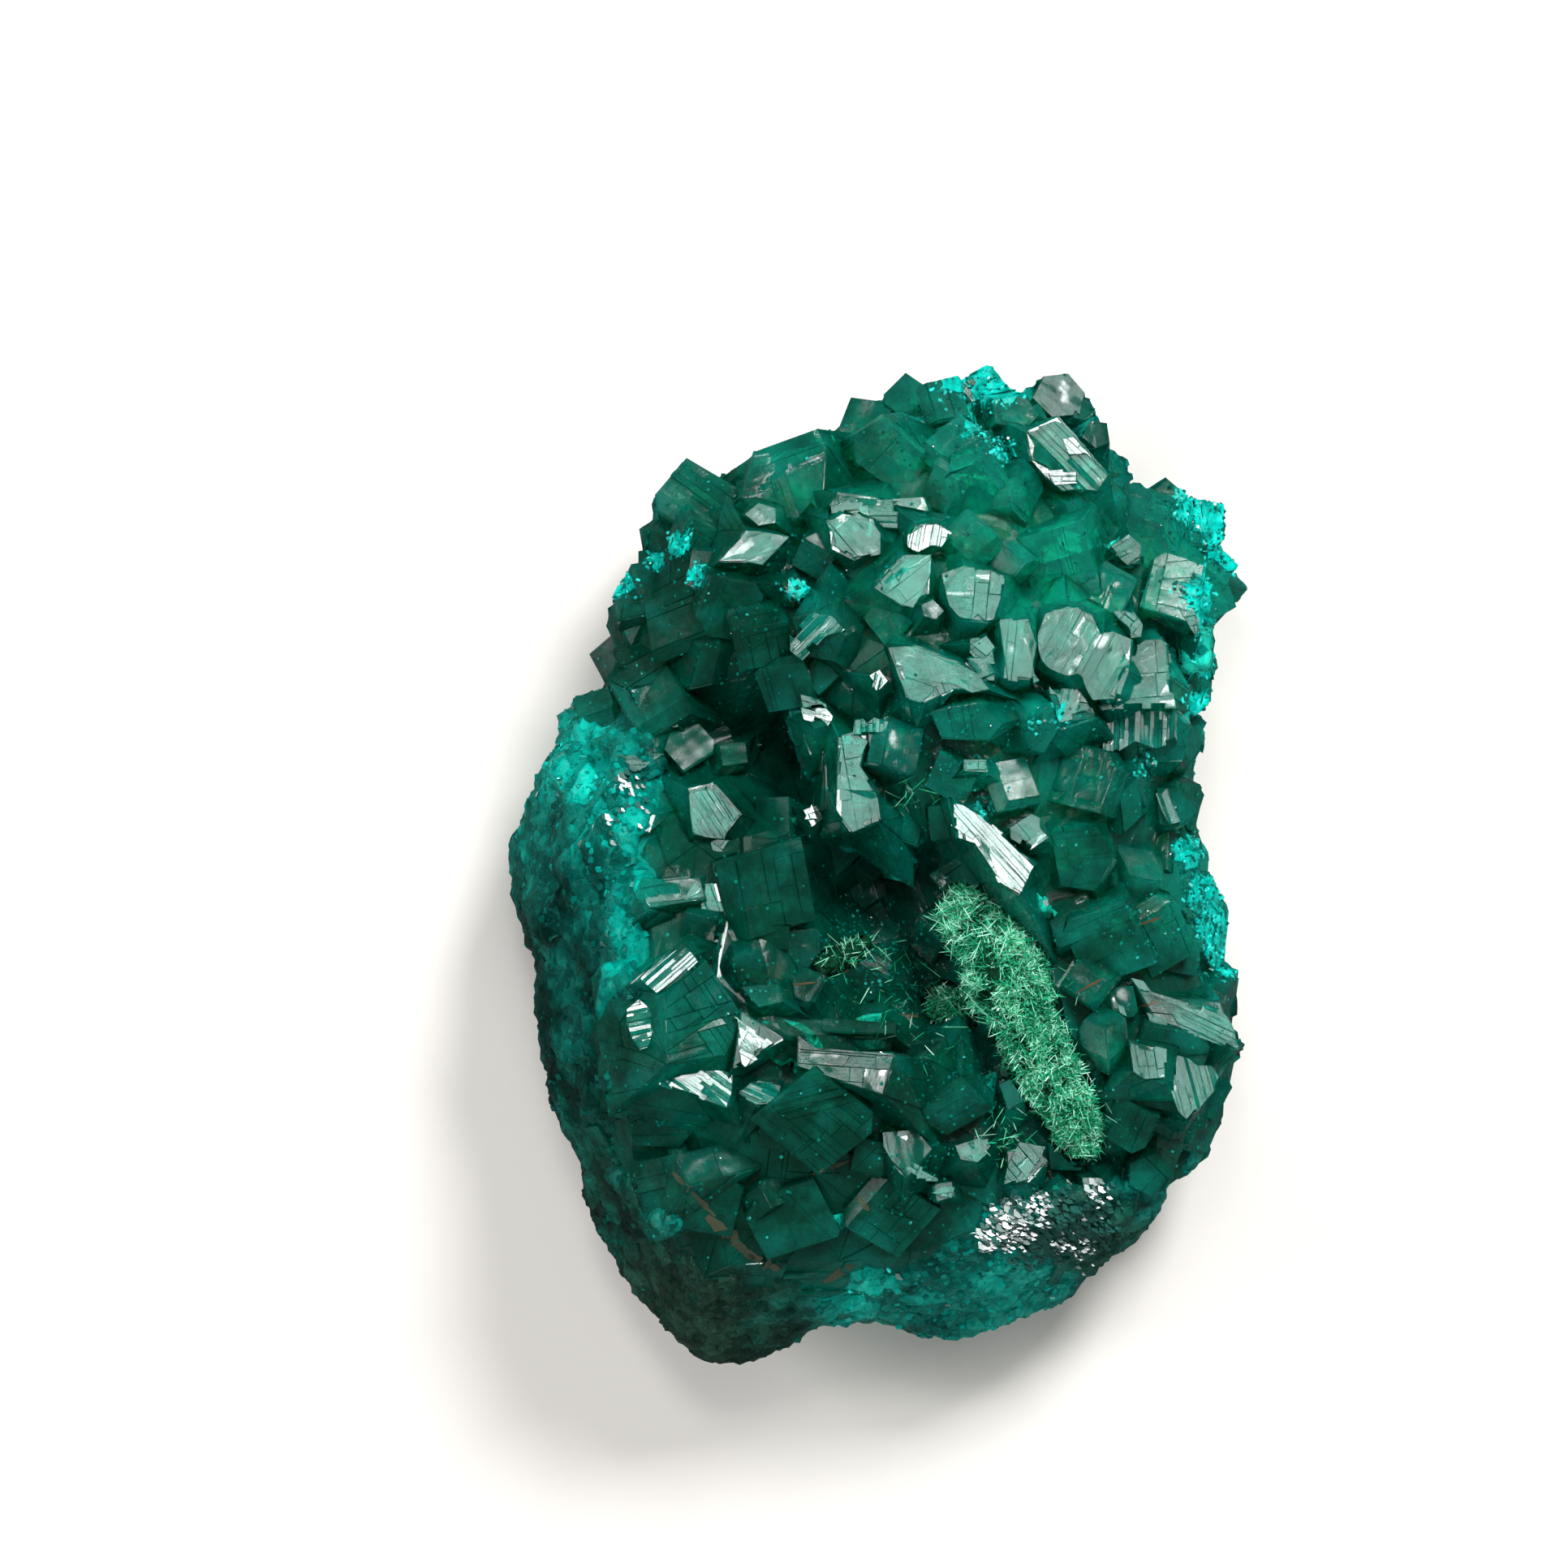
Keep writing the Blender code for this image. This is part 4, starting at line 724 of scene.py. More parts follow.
    )),
    ((13.35, 1.42, 7.2, 97, -75, 0.2, 0.22), (
        (10.29, -8.11), (10.54, -8.82), (10.85, -9.12), (11.86, -7.96), (12.01, -7.6), (11.76, -7.2),
        (11.25, -7.2), (10.95, -6.95), (10.29, -6.75),
    )),
    ((14.38, 1.14, 6.1, 91, 40, 0.6, 0.1), (
        (4.54, 0.9), (5.24, 0.5), (5.9, 0.95), (5.6, 1.3), (5.6, 1.66), (5.29, 1.81), (4.49, 1.3),
    )),
    ((10.57, 0.57, 6, 97, -70, 0.2, 0.1), (
        (10.09, 1.81), (10.34, 1.41), (10.75, 1.51), (10.39, 2.31), (10.29, 2.72), (9.84, 2.52),
    )),
    ((15.16, 0.45, 5.8, 89, 0, 0.5, 0), (
        (2.96, 3.38), (3.67, 3.38), (3.67, 3.68), (2.92, 3.68),
    )),
    ((13.99, 0.45, 6.1, 79, -58, 0.16, 0.18), (
        (-6.88, 1.81), (-6.79, 1.1), (-6.27, 0.95), (-5.67, 0.9), (-5.46, 1.36), (-5.12, 1.81),
        (-5.88, 2.62), (-6.47, 2.67), (-6.93, 2.52),
    )),
    ((13.89, 0.5, 6.2, 79, -40, 0.5, 0), (
        (-6.08, 0.5), (-5.77, 0.4), (-5.51, 0.85), (-5.83, 0.92), (-6.17, 0.8),
    )),
    ((14.97, 0.45, 6.5, 78, -60, 0.3, 0), (
        (-6.93, -0.92), (-7.08, -1.27), (-6.42, -1.17), (-6.68, -0.61),
    )),
    ((12.22, 0.45, 6, 75, 0, 0.5, 0), (
        (-8.63, 3.39), (-7.83, 3.94), (-9.54, 3.94),
    )),
    ((13.39, 0.53, 10.6, 101, -70, 0.3, 0.1), (
        (-2.79, 1.61), (-2.33, 1.61), (-2.54, 2.14),
    )),
    ((12.69, 0.45, 5, 78, 20, 0.7, 0.04), (
        (-5.5, 11.25), (-5.81, 10.87), (-5.13, 10.89), (-4.31, 10.7), (-3.96, 11.07), (-3.32, 11.7),
        (-4.04, 11.89), (-4.87, 11.96),
    )),
    ((14.77, 1.8, 5.3, 82, 45, 0.14, 0.5), (
        (-3.32, 7.61), (-2.87, 7.25), (-2.04, 8.14), (-1.33, 8.34), (-1.86, 8.89), (-2.58, 8.98),
        (-3.32, 8.16),
    )),
    ((13.81, 0.45, 7.4, 89, 15, 0.4, 0.05), (
        (2.67, -10.31), (2.96, -10.51), (3.37, -10.66), (3.71, -10.36), (3.76, -9.81), (2.62, -10.03),
    )),
    ((13.34, 0.99, 7.5, 91, -50, 0.35, 0.25), (
        (4.46, -10.76), (4.32, -11.46), (5.17, -11.16), (5.62, -10.56), (5.82, -10.11), (4.87, -9.91),
    )),
    ((14.24, 1.3, 7.5, 87, 60, 0.4, 0.3), (
        (0.01, -10.06), (0.36, -10.66), (1.17, -11.21), (1.97, -11.21), (0.97, -10.66), (1.06, -10.06),
        (0.77, -9.51), (-0.02, -9.56),
    )),
    ((13.27, 0.45, 7.6, 88, 10, 0.3, 0.1), (
        (2.46, -11.96), (2.57, -11.56), (2.17, -11.51), (1.76, -11.76),
    )),
    ((12.42, 1.78, 5.2, 99, 10, 0.5, 0.1), (
        (10.96, 8.54), (11.21, 8.19), (11.37, 8.74), (11.17, 9.04), (10.67, 9.14),
    )),
    ((12.23, 1.56, 4.9, 97, 30, 0.3, 0.2), (
        (8.87, 10.74), (9.21, 10.74), (9.27, 11.44), (8.81, 11.84), (8.17, 11.39),
    )),
)


def notched(outline, dice):
    """An outline in millimetres whose long sides step in and out, as broken growth layers do."""
    corners = []
    for start, end in zip(outline, outline[1:] + outline[:1]):
        start, end = Vector(start), Vector(end)
        parts = int((end - start).length / NOTCH_LENGTH)
        inward = Vector((start.y - end.y, end.x - start.x)).normalized()
        corners.append(start)
        for part in range(1, parts):
            joint = start.lerp(end, (part + dice.uniform(-0.3, 0.3)) / parts)
            shift = inward * NOTCH_DEPTH * dice.choice((-1, 0, 1, 2))
            corners.append(joint if part == 1 else joint + last_shift)
            corners.append(joint + shift)
            last_shift = shift
        if parts > 1:
            corners.append(end.lerp(start, 0.03) + last_shift)
    return [(corner.x, corner.y) for corner in corners]


def stepped_block(bm, numbers, outline, dice):
    """Add one low block whose upper side is ruled into ribs and crossed by small steps."""
    top, depth, lean, turn, rib_turn, rib_width, dark_share = numbers
    middle = Vector([sum(axis) / len(outline) for axis in zip(*outline)])
    facing = direction_at(lean, turn)
    mirroring = lean > MIRRORING_LEAN
    upper = []
    lower = []
    for x, y in outline:
        level = top - (facing.x * (x - middle.x) + facing.y * (y - middle.y)) / facing.z
        upper.append(bm.verts.new(Vector((x, y, level)) * MM))
        lower.append(bm.verts.new(Vector((x, y, level - depth)) * MM))
    lid = bm.faces.new(upper)
    walls = [bm.faces.new(list(reversed(lower)))]
    for side in range(len(outline)):
        walls.append(bm.faces.new((lower[side - 1], lower[side], upper[side], upper[side - 1])))
    lid.normal_update()
    for face in (lid, *walls):
        face.material_index = int(mirroring)

    def rule(parts, along, level):
        """Cut some faces across a direction at a level of it, and return what they become."""
        around_parts = {item for part in parts for item in (*part.edges, *part.verts)}
        cut = bmesh.ops.bisect_plane(
            bm, geom=[*parts, *around_parts], plane_co=along * level, plane_no=along, dist=1e-8
        )
        return [item for item in cut["geom"] if isinstance(item, bmesh.types.BMFace)]

    along = Vector((-math.sin(math.radians(rib_turn)), math.cos(math.radians(rib_turn)), 0))
    reach = [vertex.co.dot(along) for vertex in upper]
    ribs = [lid]
    level = min(reach) + dice.uniform(0.4, 1.0) * rib_width * MM
    while level < max(reach) - 0.3 * rib_width * MM:
        ribs = rule(ribs, along, level)
        level += dice.uniform(0.5, 1.6) * rib_width * MM
    cross = Vector((along.y, -along.x, 0))
    plates = []
    for rib in ribs:
        ends = [vertex.co.dot(cross) for vertex in rib.verts]
        parts = [rib]
        if dice.random() < CROSSED_RIBS:
            parts = rule(parts, cross, min(ends) + dice.uniform(0.2, 0.8) * (max(ends) - min(ends)))
        plates += parts
    plates = [plate for plate in plates if plate.calc_area() > SMALLEST_RIB]
    dice.shuffle(plates)
    split = 2 * len(plates) // 3
    for some, groove in ((plates[:split], RIB_GROOVES[0]), (plates[split:], RIB_GROOVES[1])):
        bmesh.ops.inset_individual(bm, faces=some, thickness=groove)
    for plate in plates:
        center = plate.calc_center_median()
        dark = dice.random() < dark_share and rib_width < FINE_RIB
        slope = math.tan(math.radians(dice.uniform(*DARK_RIB_LEAN) if dark else dice.gauss(0, 0.7)))
        if mirroring:
            slope = -slope
        rise = RIB_STEP * dice.choice(RIB_HEIGHTS)
        for vertex in plate.verts:
            shift = max(-0.5 * rise, (vertex.co - center).dot(along) * slope)
            vertex.co += facing * (rise + shift)


dice = random.Random(23)
bm = bmesh.new()
for numbers, outline in STEPPED_FACES:
    stepped_block(bm, numbers, notched(outline, dice), dice)
bmesh.ops.recalc_face_normals(bm, faces=bm.faces)
stepped = new_object("stepped_faces", mesh_of(bm, "stepped"))
grain_map(stepped, 9)
mark(stepped.data, "bright", np.full(len(stepped.data.vertices), 0.5))
mark(stepped.data, "open", np.ones(len(stepped.data.vertices)))
stepped.data.materials.append(crystal_finish("dioptase face", 0.17, 1.15))
stepped.data.materials.append(crystal_finish("mirroring face", 0.15, 0.5))
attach(stepped, "root")


# Druse
# Crusts of tiny dioptase crystals, a fifth of a millimetre long, on the rims and in the hollows of the
# large ones, with a crisp silvery patch at the lower right, among duller shards. Light scatters in them,
# so they look pale. Sugar grains stand on the bare massive mineral, and a thin overgrowth elsewhere.
# In every list of zones: x, y and radius in millimetres, then how thickly it grows.
DRUSE_ZONES = (
    (11.3, 13.0, 0.8, 0.9), (12.2, 12.4, 0.9, 1.0), (12.6, 11.4, 0.8, 1.0), (11.4, 9.7, 0.7, 0.8),
    (11.7, 8.6, 0.5, 0.8), (11.6, 7.2, 0.5, 0.8), (11.4, 5.8, 0.5, 0.7), (11.0, 0.4, 0.6, 0.8),
    (11.6, -1.2, 0.7, 1.0), (12.0, -2.2, 0.7, 1.0), (12.5, -3.4, 0.7, 1.0), (4.1, 17.3, 0.9, 0.9),
    (2.6, 17.4, 0.7, 0.6), (-7.3, 11.5, 0.4, 0.9), (-6.7, 10.4, 0.35, 0.9), (-8.2, 10.9, 0.35, 0.8),
    (-3.1, 9.8, 0.4, 0.9), (-9.3, 10.0, 0.5, 0.6), (-12.0, 4.4, 0.6, 0.6), (-10.9, 3.4, 1.0, 0.3),
    (3.2, 15.6, 0.5, 0.6), (4.4, 14.9, 0.5, 0.6), (6.3, 5.4, 0.5, 0.5), (5.4, 5.0, 0.4, 0.5),
    (3.6, 2.0, 0.4, 0.4), (4.2, -3.6, 0.3, 0.3), (-9.3, 0.8, 0.6, 0.3), (8.0, 16.9, 0.5, 0.3),
    (7.4, -10.4, 0.5, 0.5), (1.4, -14.6, 0.5, 0.3), (-0.4, -15.4, 0.7, 0.3), (9.4, 3.6, 0.5, 0.4),
)
# Where the sugar grains stand closest.
FACET_ZONES = (
    (-10.6, 2.6, 2.2, 0.8), (-9.6, -1.8, 1.3, 0.7), (2.0, -15.4, 2.2, 1.0), (5.2, -14.8, 1.8, 1.0),
    (7.9, -13.2, 1.3, 0.8), (-1.0, -15.6, 1.2, 0.6), (10.2, -11.4, 1.2, 0.6),
)
# Where flat shards all mirror the glint lamp and look silvery.
SILVERY_ZONES = (
    (4.6, -13.0, 0.85, 1.0), (5.4, -12.4, 0.6, 0.9), (3.9, -13.4, 0.5, 0.8), (7.2, -13.7, 0.5, 0.6),
    (6.4, -13.6, 0.4, 0.6), (7.6, -11.5, 0.3, 0.8), (7.7, -12.1, 0.25, 0.5), (-9.0, 3.0, 0.8, 0.05),
    (-8.6, 1.9, 0.7, 0.08), (-9.7, 1.2, 0.5, 0.05), (-9.7, -2.6, 0.3, 0.12), (0.9, -14.6, 0.5, 0.05),
    (7.3, -14.7, 0.3, 0.1),
)
# Where the shards lie about level and stay dull.
DULL_ZONES = (
    (5.6, -12.9, 1.6, 0.8), (7.2, -13.0, 1.1, 0.8), (8.0, -12.2, 0.6, 0.5), (3.0, -12.2, 0.9, 0.5),
)
# Where the overgrowth is thickest.
DUST_ZONES = (
    (-9.0, 3.0, 1.6, 0.3), (-6.0, 8.4, 3.0, 0.15), (-2.2, 11.0, 1.8, 0.3), (2.0, 15.0, 2.6, 0.2),
    (7.6, 14.4, 1.8, 0.15), (10.6, 12.0, 2.0, 0.2), (2.4, 4.4, 2.6, 0.4), (8.6, 4.2, 2.4, 0.3),
    (0.0, -3.4, 2.4, 0.7), (2.2, -8.2, 2.4, 0.3), (1.0, -11.0, 2.4, 0.3), (-4.8, -4.8, 1.6, 0.4),
    (9.4, -2.2, 1.8, 0.3), (11.0, -9.6, 1.4, 0.4), (-8.6, 13.2, 1.2, 0.3), (-9.6, 6.4, 1.6, 0.4),
)
LEAST_DUST = 0.05
LONGEST_GROUND_EDGE = 0.5 * MM
DRUSE_ABOVE = 3 * MM
CRUST_THICKNESS = 0.12 * MM
SILVERY_FACING = (-0.36, 1.85, 9.0)
DULL_FACING = (0.2, -0.2, 3.0)
SILVERY_IOR = 2.2
# Dark and bright tones of the crust, the druse, the overgrowth and the sugar grains, the painted glints
# of the crust and the overgrowth, and the colours of the silvery shards and of grains on the stony areas.
CRUST_TONES = ((0.0, 0.13, 0.09), (0.0, 0.62, 0.53))
CRUST_PAINTED_GLINTS = (0.06, 0.95, 0.88)
DRUSE_TONES = ((0.0, 0.10, 0.075), (0.03, 0.80, 0.70))
DUST_TONES = ((0.0, 0.06, 0.042), (0.0, 0.17, 0.125))
DUST_PAINTED_GLINTS = (0.02, 0.42, 0.35)
SILVERY = (0.012, 0.10, 0.08, 1.0)
SUGAR_TONES = ((0.0, 0.02, 0.014), (0.0, 0.46, 0.37))
SUGAR_ON_STONE = (0.008, 0.035, 0.022)


def crystal_form(name, tip_share):
    """A six-sided crystal one unit tall and one across, whose tip slopes on three sides."""
    bm = bmesh.new()
    rings = []
    for level, width in ((-0.5, 0.8), (0.5 - tip_share, 1.0)):
        ring = []
        for side in range(6):
            angle = math.radians(60 * side)
            drop = 0.0 if level < 0 else 0.1 * (-1) ** side
            across, along = 0.5 * width * math.cos(angle), 0.5 * width * math.sin(angle)
            ring.append(bm.verts.new((across, along, level + drop)))
        rings.append(ring)
    tip = bm.verts.new((0, 0, 0.5))
    bm.faces.new(list(reversed(rings[0])))
    for side in range(6):
        after = (side + 1) % 6
        bm.faces.new((rings[0][side], rings[0][after], rings[1][after], rings[1][side]))
        bm.faces.new((rings[1][side], rings[1][after], tip))
    return bpy.data.objects.new(name, mesh_of(bm, name))


def shard_form():
    """A thin, angular plate one unit thick, twice as long as it is broad, laid slantwise."""
    bm = bmesh.new()
    corners = ((-0.55, 0.18), (-0.2, -0.3), (0.35, -0.26), (0.6, 0.02), (0.15, 0.12), (-0.1, 0.34))
    turned = Matrix.Rotation(math.radians(-32), 3, "Z")
    rings = []
    for level in (-0.5, 0.5):
        rings.append([bm.verts.new(turned @ Vector((x, y, level))) for x, y in corners])
    bm.faces.new(list(reversed(rings[0])))
    bm.faces.new(rings[1])
    for side in range(len(corners)):
        bm.faces.new((rings[0][side - 1], rings[0][side], rings[1][side], rings[1][side - 1]))
    return bpy.data.objects.new("shard", mesh_of(bm, "shard"))


GROWTH_INPUTS = {
    "Ground": "Geometry", "Form": "Object", "Where": "String", "Most per area": "Float",
    "Shortest": "Float", "Longest": "Float", "Own width": "Float", "Width by length": "Float",
    "Upright": "Float", "Facing": "Vector", "Lowest": "Float", "Highest": "Float", "Seed": "Int",
    "Finish": "Material",
}


def growth_tree():
    """Geometry Nodes that grow many small forms on a surface where a named number allows it."""
    tree = bpy.data.node_groups.new("growth", "GeometryNodeTree")
    for name, kind in GROWTH_INPUTS.items():
        tree.interface.new_socket(name, in_out="INPUT", socket_type="NodeSocket" + kind)
    tree.interface.new_socket("Growth", in_out="OUTPUT", socket_type="NodeSocketGeometry")
    start = tree.nodes.new("NodeGroupInput").outputs

    def node(kind, inputs, **settings):
        """Make a node, set or join its inputs by name or number, and return its outputs."""
        made = tree.nodes.new(kind)
        for key, value in settings.items():
            setattr(made, key, value)
        for key, value in inputs.items():
            if isinstance(value, bpy.types.NodeSocket):
                tree.links.new(value, made.inputs[key])
            else:
                made.inputs[key].default_value = value
        return made.outputs

    def vector(operation, first, second):
        """One sum of two vectors, or of a vector and a number."""
        key = "Scale" if operation == "SCALE" else 1
        return node("ShaderNodeVectorMath", {0: first, key: second}, operation=operation)[0]

    def between(low, high, seed):
        """A number between two, drawn for each form."""
        return node("FunctionNodeRandomValue", {2: low, 3: high, "Seed": seed})[1]

    where = node("GeometryNodeInputNamedAttribute", {"Name": start["Where"]}, data_type="FLOAT")
    density = node(
        "ShaderNodeMath", {0: start["Most per area"], 1: where["Attribute"]}, operation="MULTIPLY"
    )[0]
    points = node(
        "GeometryNodeDistributePointsOnFaces",
        {"Mesh": start["Ground"], "Density": density, "Seed": start["Seed"]},
    )
    outward = points["Normal"]
    lift = vector("SCALE", outward, between(start["Lowest"], start["Highest"], 1))
    moved = node("GeometryNodeSetPosition", {"Geometry": points["Points"], "Offset": lift})
    tumble = node("FunctionNodeRandomValue", {0: (-1, -1, -1), 1: (1, 1, 1)}, data_type="FLOAT_VECTOR")[0]
    laid = vector("CROSS_PRODUCT", tumble, outward)
    leaning = vector("ADD", vector("SCALE", outward, start["Upright"]), laid)
    aimed = vector("ADD", leaning, start["Facing"])
    turned = node("FunctionNodeAlignRotationToVector", {"Vector": aimed}, axis="Z")
    length = between(start["Shortest"], start["Longest"], 2)
    width = node(
        "ShaderNodeMath", {0: length, 1: start["Width by length"], 2: start["Own width"]},
        operation="MULTIPLY_ADD",
    )[0]
    size = node("ShaderNodeCombineXYZ", {"X": width, "Y": width, "Z": length})
    form = node("GeometryNodeObjectInfo", {"Object": start["Form"]})
    copies = node("GeometryNodeInstanceOnPoints", {
        "Points": moved["Geometry"], "Instance": form["Geometry"], "Rotation": turned["Rotation"],
        "Scale": size["Vector"],
    })
    shaded = {"Name": "shade", "Geometry": copies["Instances"], "Value": between(0.0, 1.0, 3)}
    marked = node("GeometryNodeStoreNamedAttribute", shaded, domain="INSTANCE")
    real = node("GeometryNodeRealizeInstances", {"Geometry": marked["Geometry"]})
    finish = node("GeometryNodeSetMaterial", {"Geometry": real["Geometry"], "Material": start["Finish"]})
    node("NodeGroupOutput", {"Growth": finish["Geometry"]})
    return tree


growth = growth_tree()


def grow(name, ground, **inputs):
    """A piece made of many small forms on a copy of a ground mesh."""
    piece = new_object(name, ground.copy())
    step = piece.modifiers.new("growth", "NODES")
    step.node_group = growth
    for item in growth.interface.items_tree:
        key = item.name.lower().replace(" ", "_")
        if key in inputs:
            step[item.identifier] = inputs[key]
    finished(piece)
    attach(piece, "root")
    return piece


def zone_density(places, zones):
    """How thickly something grows at each place, from its zones."""
    value = np.zeros(len(places))
    for x, y, radius, thickness in zones:
        distance = np.hypot(places[:, 0] - x * MM, places[:, 1] - y * MM) / (radius * MM)
        value = np.maximum(value, thickness * np.clip(1.6 - 1.3 * distance, 0.0, 1.0))
    return value


def facing_up(mesh):
    """1 at each vertex that faces upwards or sideways, falling to 0 on overhangs."""
    return np.clip(normals_of(mesh)[:, 2] * 2.0 + 0.6, 0.0, 1.0)


ground = crystals.data.copy()
fine = bmesh.new()
fine.from_mesh(ground)
bmesh.ops.triangulate(fine, faces=fine.faces)
long_edges = [edge for edge in fine.edges if edge.calc_length() > LONGEST_GROUND_EDGE]
bmesh.ops.subdivide_edges(fine, edges=long_edges, cuts=3, use_grid_fill=True)
fine.to_mesh(ground)
fine.free()
places = places_of(ground)
upward = facing_up(ground) * (places[:, 2] > DRUSE_ABOVE)
mark(ground, "druse", zone_density(places, DRUSE_ZONES) * upward)
mark(ground, "dust", np.maximum(zone_density(places, DUST_ZONES), LEAST_DUST) * upward)

recipe = Recipe("druse crust")
place = recipe.coordinates()
streaks = recipe.noise(place, 1800.0, 4.0, 0.65)
tone = recipe.mix(recipe.range(streaks, 0.32, 0.6), *CRUST_TONES)
# Painted glints: the palest streaks of the crust are coloured near white.
tone = recipe.mix(recipe.range(streaks, 0.6, 0.75), tone, CRUST_PAINTED_GLINTS)
crust_finish = recipe.surface(
    tone, 0.12, Normal=recipe.bump(recipe.noise(place, 4200.0, 3.0), 0.8, 0.08 * MM)
)
bm = bmesh.new()
bm.from_mesh(ground)
crust_layer = bm.verts.layers.float["druse"]
thin = []
for face in bm.faces:
    thickness = sum(vertex[crust_layer] for vertex in face.verts) / len(face.verts)
    ragged_edge = 0.42 + 0.3 * noise.noise(face.calc_center_median() / (0.3 * MM))
    if thickness < ragged_edge:
        thin.append(face)
bmesh.ops.delete(bm, geom=thin, context="FACES")
bmesh.ops.remove_doubles(bm, verts=bm.verts, dist=SAME_PLACE)
for vertex in bm.verts:
    vertex.co += vertex.normal * (0.05 + 0.05 * noise.noise(vertex.co / (0.2 * MM))) * MM
crust = new_object("druse_crust", mesh_of(bm, "crust"))
crust.data.materials.append(crust_finish)
crust_body = crust.modifiers.new("thickness", "SOLIDIFY")
crust_body.thickness = CRUST_THICKNESS
crust_body.offset = -1.0
finished(crust)
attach(crust, "root")

recipe = Recipe("druse")
tone = recipe.mix(recipe.range(recipe.attribute("shade"), 0.35, 1.0), *DRUSE_TONES)
small_crystal = crystal_form("small crystal", 0.3)
druse = grow(
    "druse", ground, form=small_crystal, where="druse", most_per_area=1.1e8, shortest=0.08 * MM,
    longest=0.34 * MM, own_width=0.05 * MM, width_by_length=0.35, upright=0.45, lowest=-0.12 * MM,
    highest=0.03 * MM, seed=2, finish=recipe.surface(tone, 0.10, IOR=EMERALD_IOR),
)

recipe = Recipe("overgrowth")
shade = recipe.attribute("shade")
tone = recipe.mix(recipe.range(shade, 0.0, 0.75), *DUST_TONES)
# Painted glints: a few flakes are coloured bright turquoise.
tone = recipe.mix(recipe.range(shade, 0.93, 1.0), tone, DUST_PAINTED_GLINTS)
flat_crystal = crystal_form("flat crystal", 0.1)
dust = grow(
    "overgrowth", ground, form=flat_crystal, where="dust", most_per_area=1.9e7, shortest=0.03 * MM,
    longest=0.08 * MM, own_width=0.03 * MM, width_by_length=1.5, upright=2.6, lowest=-0.02 * MM,
    highest=0.01 * MM, seed=5, finish=recipe.surface(tone, 0.08, IOR=EMERALD_IOR),
)

rubble = massive.data.copy()
places = places_of(rubble)
grained = np.clip(1.3 * bare - 0.4, 0.0, 1.0) * np.clip(places[:, 2] / MM - 0.35, 0.0, 1.0)
mark(rubble, "sugar", grained * (0.8 + 2.4 * zone_density(places, FACET_ZONES)))
upward = facing_up(rubble)
silvery_finish = Recipe("silvery druse").surface(SILVERY, 0.14, IOR=SILVERY_IOR)
shard = shard_form()
for name, zones, facing, thickness in (
    ("silvery_druse", SILVERY_ZONES, SILVERY_FACING, 7.0e7),
    ("dull_druse", DULL_ZONES, DULL_FACING, 4.4e7),
):
    mark(rubble, name, zone_density(places, zones) * upward)
    flakes = grow(
        name, rubble, form=shard, where=name, most_per_area=thickness, shortest=0.03 * MM,
        longest=0.12 * MM, own_width=0.06 * MM, width_by_length=2.6, upright=0.3, facing=facing,
        lowest=-0.02 * MM, highest=0.14 * MM, seed=3, finish=silvery_finish,
    )

recipe = Recipe("sugar grains")
shade = recipe.range(recipe.attribute("shade"), 0.0, 1.0, 0.3, 1.0)
tone = recipe.mix(recipe.math("MULTIPLY", shade, recipe.attribute("bright")), *SUGAR_TONES)
tone = recipe.mix(recipe.range(recipe.attribute("grey"), 0.25, 0.85), tone, SUGAR_ON_STONE)
sugar = grow(
    "sugar_grains", rubble, form=small_crystal, where="sugar", most_per_area=5.0e6,
    shortest=0.14 * MM, longest=0.40 * MM, own_width=0.06 * MM, width_by_length=0.8, upright=0.8,
    lowest=-0.18 * MM, highest=-0.07 * MM, seed=7,
    finish=recipe.surface(tone, 0.2, Specular_IOR_Level=MASSIVE_SPECULAR),
)


# Malachite
# Felted needles of bright green malachite, a thirtieth of a millimetre thick, in three seams that fill
# the clefts. Every needle is a mesh of its own, over a porous lump of the same mineral, coloured dark as
# painted shade deep in the felt.
NEEDLE_WIDTH = 0.034 * MM
LUMP_SUNK = 0.30 * MM
LOOSE_ABOVE = 9 * MM
MALACHITE_IOR = 1.8
# Dark and bright tones of the needles; the colour of the palest, partly pale malachite and partly a
# painted highlight; and the tones of the lump, whose darkness is painted shade deep in the felt.
NEEDLE_TONES = ((0.001, 0.08, 0.034), (0.02, 0.56, 0.26))
NEEDLE_PALE_AND_HIGHLIGHT = (0.50, 1.0, 0.78)
LUMP_SHADE_TONES = ((0.0, 0.012, 0.005), (0.002, 0.07, 0.028))
# Zones of the felt: x, y and radius in millimetres, then how thickly the needles lie.
LONG_ZONES = (
    (2.9, -1.4, 1.1, 1.0), (2.3, -1.8, 0.8, 1.0), (4.2, -1.4, 0.7, 0.8), (3.3, -2.6, 0.9, 0.8),
    (4.5, -2.8, 0.8, 0.7), (4.9, -4.2, 1.2, 0.35), (5.2, -6.0, 1.4, 0.25), (6.0, -8.0, 1.2, 0.3),
    (7.0, -9.6, 0.9, 0.35), (2.6, -5.1, 0.8, 1.0), (2.9, -4.4, 0.5, 0.8), (3.4, -3.6, 1.1, 0.12),
    (3.5, -5.2, 1.1, 0.10), (-1.3, -3.3, 1.0, 0.30),
)
SHORT_ZONES = (
    (3.0, -1.7, 1.0, 0.5), (4.5, -2.9, 0.8, 0.8), (5.0, -3.9, 1.05, 1.0), (5.05, -5.2, 1.1, 1.0),
    (5.3, -6.4, 1.2, 1.0), (5.9, -7.5, 1.1, 1.0), (6.6, -8.6, 0.95, 1.0), (7.0, -9.5, 0.8, 1.0),
    (7.15, -10.2, 0.55, 1.0), (2.5, -4.9, 0.9, 1.0),
)
